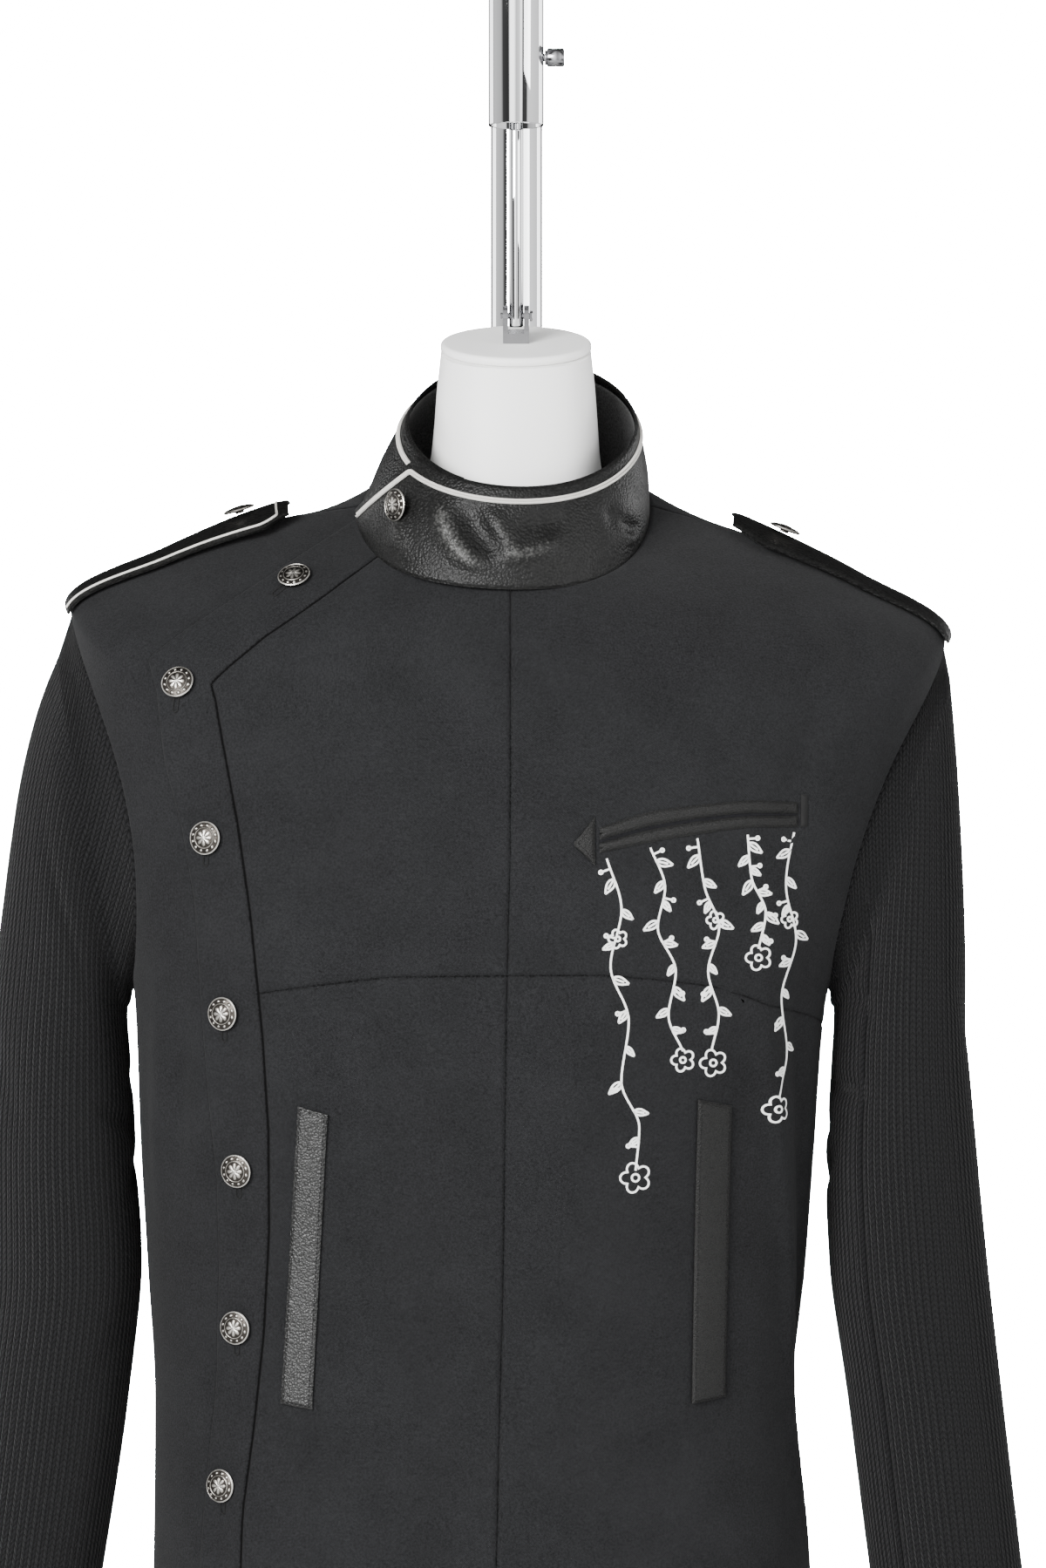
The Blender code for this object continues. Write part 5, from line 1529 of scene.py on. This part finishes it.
def button(name, seat, facing_to, node):
    """Shank, back and domed face of a button, on an axis that faces out of the cloth."""
    across = unit(np.cross([0.0, 0.0, 1.0], facing_to))
    axes = np.array((across, np.cross(facing_to, across), facing_to))
    turn = turns(FACE_SIDES)
    back = np.array(((2.6, 0.0), (2.6, 1.0), (BUTTON_RADIUS - 1.0, 1.5), (BUTTON_RADIUS - 0.2, 1.75)))
    share = np.linspace(0.995, 0.02, FACE_RINGS)[:, None]
    relief = button_face(share, turn[None, :])
    dome = 1.6 + 2.5 * np.sqrt(1 - (share * 0.97) ** 2) + 0.42 * relief
    radius = np.concatenate([back[:, :1] + 0 * turn, BUTTON_RADIUS * share + 0 * turn])
    height = np.concatenate([back[:, 1:] + 0 * turn, dome])
    local = np.concatenate([radius[..., None] * circle(turn), height[..., None]], -1)
    worn = np.concatenate([np.zeros((len(back), FACE_SIDES)), relief])
    piece = capped(name, local @ axes + seat, values=worn)
    return dress(piece, silver, node)


def button_seats():
    """Place and direction of every button, by node."""
    seats = {}
    for i, place in enumerate(BAND_BUTTONS, start=1):
        angle, ring = locate(place)
        seat = on_body(angle, ring, lapped(angle, ring) + BUTTON_SEAT)
        above = body_point(angle, ring) + 5 * unit(np.cross(*body_slopes(angle, ring)))
        seats[f"button_{i}"] = seat, unit(above - body_point(angle, ring))
    angle, share = COLLAR_BUTTON
    seat, inside = (collar_point(angle, share, out + collar_fold(angle, share)) for out in (1.5, 0.0))
    seats["button_collar"] = seat, unit(seat - inside)
    for hand, side in EPAULETTES.items():
        share = np.float64(STRAP_BUTTON)
        seat, under = (strap_point(side, share, 0.0, STRAP_THICK + up) for up in (0.4, 0.0))
        seats["button_epaulette_" + hand] = seat, unit(seat - under)
    return seats


seats = button_seats()
buttons = [button("silver_" + node, *seat, node) for node, seat in seats.items()]
print(len(buttons), "buttons with", triangles(*buttons), "triangles")

# %% Buttonholes
HOLE_LENGTH, HOLE_WIDTH, HOLE_OFFSET, END_SHARPNESS = 21.0, 2.6, 5.0, 40
# Direction of each buttonhole, in degrees turned up from the wearer's left
HOLE_TILTS = (220, 265, 268, 270, 272, 270, 272, 272)


def stadium(length, width, count=64):
    """Closed line of two straight sides and two half circles, from a circle pulled apart along x."""
    turn = np.linspace(0, 2 * np.pi, count)
    x = np.cos(turn) * width / 2 + np.clip(np.cos(turn) * END_SHARPNESS, -1, 1) * (length - width) / 2
    return np.stack([x, np.sin(turn) * width / 2], -1)


hole_lines = []
for (x, z), tilt in zip(BAND_BUTTONS, HOLE_TILTS):
    line = stadium(HOLE_LENGTH, HOLE_WIDTH)
    direction = circle(np.radians(tilt))
    aside = np.array((-direction[1], direction[0]))
    places = np.array((x, z)) + (line[:, :1] + HOLE_OFFSET) * direction + line[:, 1:] * aside
    hole_lines.append(front_line(places, 0.0, lapped))
holes = stitches("buttonhole_threads", hole_lines, 0.75, 1.5, 0.5, dip=0.5)
print("buttonholes with", triangles(holes), "triangles")

# %% [markdown]
# ## The print
# A white line print hangs below the chest pocket: trailing vines with leaves, small flowers and berries.
# Every line is a curve in the plane of the front, given a width and laid on the cloth's surface as a thin
# film, so it follows each crease.

# %% Lines of the print, as x and z in millimetres
PRINT_LIFT, LINE_WIDTH, FILM_THICK = 0.14, 1.15, 0.12
STALK = 4.6
VINES = (
    ((50, 634), (58, 606), (52, 575), (62, 545), (58, 512), (68, 486), (66, 462)),
    ((74, 640), (82, 618), (78, 596), (88, 572), (84, 548), (92, 528)),
    ((100, 645), (104, 618), (112, 596), (106, 572), (112, 548), (108, 528)),
    ((128, 647), (130, 624), (138, 604), (134, 584)),
    ((156, 648), (150, 618), (156, 588), (148, 556), (152, 526), (144, 500)),
)
FLOWERS = (
    (66, 458, 8.5), (92, 523, 6.5), (109, 521, 7.5), (134, 579, 7.0), (144, 494, 7.5), (56, 590, 5.2),
    (110, 600, 5.0), (152, 600, 5.0),
)


def curve_through(points, count):
    """Smooth line through points, each coordinate a cubic in the running number of the points."""
    points = np.array(points, float)
    knots = np.arange(len(points), dtype=float)
    at = np.linspace(0, len(points) - 1, count)
    return np.stack([smooth(at, knots, points[:, i]) for i in (0, 1)], -1)


def leaf(foot, direction, length, width):
    """Leaf outline and its vein: the half width is a sine that leans towards the foot."""
    share = np.linspace(0, 1, 14)
    half = width / 2 * np.sin(np.pi * share**0.75)
    aside = np.array((-direction[1], direction[0]))
    along = foot + np.outer(share * length, direction)
    rim = np.concatenate([along + half[:, None] * aside, (along - half[:, None] * aside)[::-1]])
    return [rim, foot + np.outer(np.linspace(0.0, 0.7, 6) * length, direction)]


def flower(x, z, radius, petals=5):
    """Flower outline: a circle whose radius swells once for each petal, and a small ring inside."""
    turn = np.linspace(0, 2 * np.pi, 61)
    reach = radius * (0.62 + 0.38 * np.abs(np.sin(petals / 2 * turn)) ** 0.8)
    return [(x, z) + np.reshape(r, (-1, 1)) * circle(turn) for r in (reach, radius * 0.24)]


def berries(line, side, every, radius):
    """Small rings on short stalks along a line."""
    spots = line[4::every]
    along = unit(np.gradient(line, axis=0))[4::every]
    aside = np.stack([-along[:, 1], along[:, 0]], -1) * side
    berry = circle(np.linspace(0, 2 * np.pi, 17)) * radius
    drawn = []
    for spot, out in zip(spots, aside):
        drawn += [spot + np.outer(np.linspace(0, STALK, 4), out), spot + out * (STALK + radius) + berry]
    return drawn


def print_lines():
    """All lines of the print: vines with leaves on alternate sides, flowers at their ends, and berries."""
    drawn = []
    for number, vine in enumerate(VINES):
        line = curve_through(vine, 120)
        drawn.append(line)
        along = unit(np.gradient(line, axis=0))
        spots = np.arange(8, 112, 12)
        for i, spot in enumerate(spots):
            side = 1 if (i + number) % 2 else -1
            lean = np.array(((0.62, -0.78 * side), (0.78 * side, 0.62)))
            size = 9.5 - 2.5 * (i % 3) / 2
            drawn += leaf(line[spot], lean @ along[spot], size, size * 0.42)
        drawn += berries(line, 1 if number % 2 else -1, 26, 0.9)
    for x, z, radius in FLOWERS:
        drawn += flower(x, z, radius)
    return drawn


def ribbon(name, lines, width, lift):
    """Thin film along lines of x and z: each point goes half a width to both sides, then onto the body."""
    points, faces, first = [], [], 0
    for line in lines:
        along = unit(np.gradient(line, axis=0) + 1e-9)
        if np.allclose(line[0], line[-1]):
            along[0] = along[-1] = unit(line[1] - line[-2])
        aside = np.stack([-along[:, 1], along[:, 0]], -1) * width / 2
        edges = np.stack([line + aside, line - aside], 1)
        points.append(edges.reshape(-1, 2))
        faces.append(first + grid_quads(len(line), 2))
        first += 2 * len(line)
    angle, ring = locate(np.concatenate(points))
    laid, under = on_body(angle, ring, lift), on_body(angle, ring, lift - FILM_THICK)
    faces, count = np.concatenate(faces), len(laid)
    rims, start = [], 0
    for line in lines:
        left = start + 2 * np.arange(len(line))
        right = left + 1
        rims.append(np.stack([left[:-1], left[1:], left[1:] + count, left[:-1] + count], -1))
        rims.append(np.stack([right[:-1], right[1:], right[1:] + count, right[:-1] + count], -1)[:, ::-1])
        rims.append(np.array([[left[0], left[0] + count, right[0] + count, right[0]]]))
        rims.append(np.array([[left[-1], right[-1], right[-1] + count, left[-1] + count]]))
        start += 2 * len(line)
    inside = faces[:, ::-1] + count
    return make_mesh(name, np.concatenate([laid, under]), [faces, inside, np.concatenate(rims)])


print_piece = ribbon("print_vines", print_lines(), LINE_WIDTH, PRINT_LIFT)
dress(print_piece, ink)
print("print with", triangles(print_piece), "triangles")

# %% [markdown]
# ## The dress form
# The form is a padded torso under stretched satin, with a small neck cap. Its rings use the body's oval,
# a little inside the cloth, so the jacket hangs on its shoulders and stays clear of it below.

# %% Form
FORM_RINGS = np.array((
    (100, -92, 4, 100, 100, 100, 92, -162, -19, 124, 1.0),
    (122, -104, 4, 122, 122, 122, 107, -186, -19, 146, 1.0),
    (226, -103, 4, 226, 226, 226, 107, -194, -18, 154, 1.0),
    (325, -96, 2, 325, 325, 325, 91, -190, -18, 144, 1.0),
    (400, -96, 0, 400, 400, 400, 80, -194, -18, 148, 1.0),
    (470, -103, 0, 470, 470, 472, 85, -199, -17, 154, 1.0),
    (548, -110, 0, 548, 548, 556, 96, -202, -16, 160, 1.2),
    (600, -109, 2, 620, 616, 620, 102, -202, -15, 168, 1.4),
    (645, -104, 5, 690, 684, 668, 103, -200, -12, 172, 1.5),
    (690, -97, 8, 750, 742, 716, 99, -194, -8, 172, 1.5),
    (718, -90, 10, 789, 781, 764, 92, -176, -5, 160, 1.45),
    (738, -84, 11, 813, 804, 797, 84, -150, -3, 138, 1.35),
    (757, -76, 11, 828, 822.5, 820, 74, -120, -2, 112, 1.25),
    (775, -66, 11, 836, 833, 842, 64, -76, -1, 71, 1.1),
    (800, -57, 9, 846, 845, 853, 56, -57, 0, 55, 1.0),
    (820, -51, 6, 858, 857, 866, 53, -50, 0, 49, 1.0),
    (864, -44.5, 5, 880, 880, 895, 50, -47, 0, 47, 1.0),
    (886, -42, 5.5, 901, 901, 915, 49, -45.5, 0, 45.5, 1.0),
    (910, -37.3, 5, 923.8, 923.8, 937.6, 47.4, -43.2, 0, 43.2, 1.0),
), float)
FORM_ROWS, FORM_SIDES = 112, 112


turn = turns(FORM_SIDES)
at = np.linspace(FORM_RINGS[0, 0], FORM_RINGS[-1, 0], FORM_ROWS)[:, None]
form_torso = capped("satin_form", oval(lambda name: ring_value(name, at, FORM_RINGS), turn[None, :]))
dress(form_torso, satin, "form_torso")

NECK_TILT, PIN_Z = np.radians(18), 943.5
CAP_RADIUS, CAP_THICK, CAP_ROUND, CAP_BELOW_PIN = 43.5, 5.0, 2.4, 15.0
lean = np.array([0, -np.sin(NECK_TILT), np.cos(NECK_TILT)])
fore = np.array([0, np.cos(NECK_TILT), np.sin(NECK_TILT)])
side_way = np.array([1.0, 0.0, 0.0])
cap_top = np.array([0, 0, PIN_Z]) - lean * CAP_BELOW_PIN
bend = np.linspace(0, np.pi / 2, 8)
cap_profile = [(CAP_RADIUS - 1.2, -CAP_THICK), (CAP_RADIUS, -CAP_THICK + 1.2)]
cap_profile += [(CAP_RADIUS - CAP_ROUND * (1 - np.cos(b)), -CAP_ROUND * (1 - np.sin(b))) for b in bend]
cap_profile += [(CAP_RADIUS * k, 0.0) for k in (0.8, 0.5, 0.2)]
form_cap = turned("satin_form_cap", cap_profile, 96, cap_top, (side_way, fore, lean))
dress(form_cap, satin, "form_cap")
print("form with", triangles(form_torso, form_cap), "triangles")

# %% [markdown]
# ## The stand
# A steel tube rises behind the form, bends over in a half circle and ends above the neck. A rod hangs in
# its mouth and a knob on the side clamps it. The tube is a circle carried along the bent line, inside and
# out, so its open end shows a real wall.

# %% Tube, rod, knob and base
POLE_RADIUS, POLE_WALL, POLE_BACK = 16.0, 2.0, 208.0
POLE_END, BEND_START, BASE_THICK = 1052.5, 1200.0, 8.0
BASE_FRONT, BASE_BACK, BASE_HALF, BASE_CORNER = -150.0, 250.0, 170.0, 24.0
ROD_RADIUS, ROD_END, ROD_TOP = 4.0, 937.0, 1130.0
KNOB_Z, KNOB_RADIUS, KNOB_LENGTH = 1091.7, 5.3, 10.0
KNOB_START, BASE_SIDES = 17.8, 64


def tube_rings(path, radius, sides):
    """Circles square to a path that lies in the plane x = 0."""
    along = unit(np.gradient(path, axis=0))
    side = np.array([1.0, 0.0, 0.0])
    other = np.cross(along, side)
    turn = turns(sides, 0.5)
    return path[:, None] + radius * (np.cos(turn)[:, None] * side + np.sin(turn)[:, None] * other[:, None])


def pole_path():
    """Up from the base behind the form, over in a half circle, and down to the open end."""
    radius = POLE_BACK / 2
    turn = np.linspace(0, np.pi, 72)
    arc = [(0, radius + radius * np.cos(t), BEND_START + radius * np.sin(t)) for t in turn]
    foot, mouth = BASE_THICK + 0.3, POLE_END + 0.6
    return np.array([(0, POLE_BACK, foot), (0, POLE_BACK, 600), *arc, (0, 0, mouth), (0, 0, POLE_END)])


path = pole_path()
draw_in = np.zeros(len(path))
draw_in[-1] = 0.4
outer = tube_rings(path, 1.0, 64)
centre = path[:, None]
outer_tube = centre + (outer - centre) * (POLE_RADIUS - draw_in)[:, None, None]
inner_tube = centre + (outer - centre) * (POLE_RADIUS - POLE_WALL + draw_in)[:, None, None]
pole = shell("chrome_pole", outer_tube, inner_tube, around=True)
dress(pole, chrome, "pole")

rod_profile = ((3.2, ROD_END), (ROD_RADIUS, ROD_END + 0.8), (ROD_RADIUS, ROD_TOP - 0.8), (3.2, ROD_TOP))
upright = np.eye(3)
rod = turned("chrome_rod", rod_profile, 48, (0, 0, 0), upright)
dress(rod, chrome, "rod")

knob_end = KNOB_START + KNOB_LENGTH
knob_profile = (
    (2.2, ROD_RADIUS + 0.4), (2.2, 16.4), (4.0, 16.4), (4.3, 16.8), (4.3, 17.4), (4.0, KNOB_START),
    (KNOB_RADIUS - 0.5, KNOB_START), (KNOB_RADIUS, KNOB_START + 0.5), (KNOB_RADIUS, knob_end - 1.0),
    (KNOB_RADIUS - 0.4, knob_end - 0.3), (KNOB_RADIUS - 1.0, knob_end),
)
knob = turned("chrome_knob", knob_profile, 48, (0, 0, KNOB_Z), ((0, 1, 0), (0, 0, 1), (1, 0, 0)))
dress(knob, worn_chrome, "knob")
print("tube, rod and knob with", triangles(pole, rod, knob), "triangles")

# %% Base plate and socket
def plate_outline(inset):
    """Rectangle with round corners, inset all round, as one ring."""
    corner = circle(np.linspace(0, 2 * np.pi, BASE_SIDES, endpoint=False))
    reach = np.array((BASE_HALF, (BASE_BACK - BASE_FRONT) / 2)) - BASE_CORNER
    centre = np.array((0, (BASE_FRONT + BASE_BACK) / 2))
    return centre + np.sign(corner.round(9) + 1e-12) * reach + corner * (BASE_CORNER - inset)


levels = [(1.0, 0.0), (0.0, 1.0), (0.0, BASE_THICK - 1.2), (0.35, BASE_THICK - 0.35), (1.2, BASE_THICK)]
rings = np.stack([np.column_stack([plate_outline(inset), np.full(BASE_SIDES, z)]) for inset, z in levels])
base = capped("steel_base", rings)
dress(base, steel, "base")
KEPT_SOLIDS = {"pole_socket": steel, "tube_guide": steel, "clevis": worn_chrome, "clevis_pin": worn_chrome}
for node, finish in KEPT_SOLIDS.items():
    solid = frame["nodes"][node]
    solid.data.materials.clear()
    solid.data.materials.append(finish)
print("base with", triangles(base), "triangles")

# %% Sizes of the cuts
for name, (width, length, area) in sorted(CUTS.items()):
    print(f"{name}: {width:.3f} x {length:.3f} m, {area:.4f} square metres")
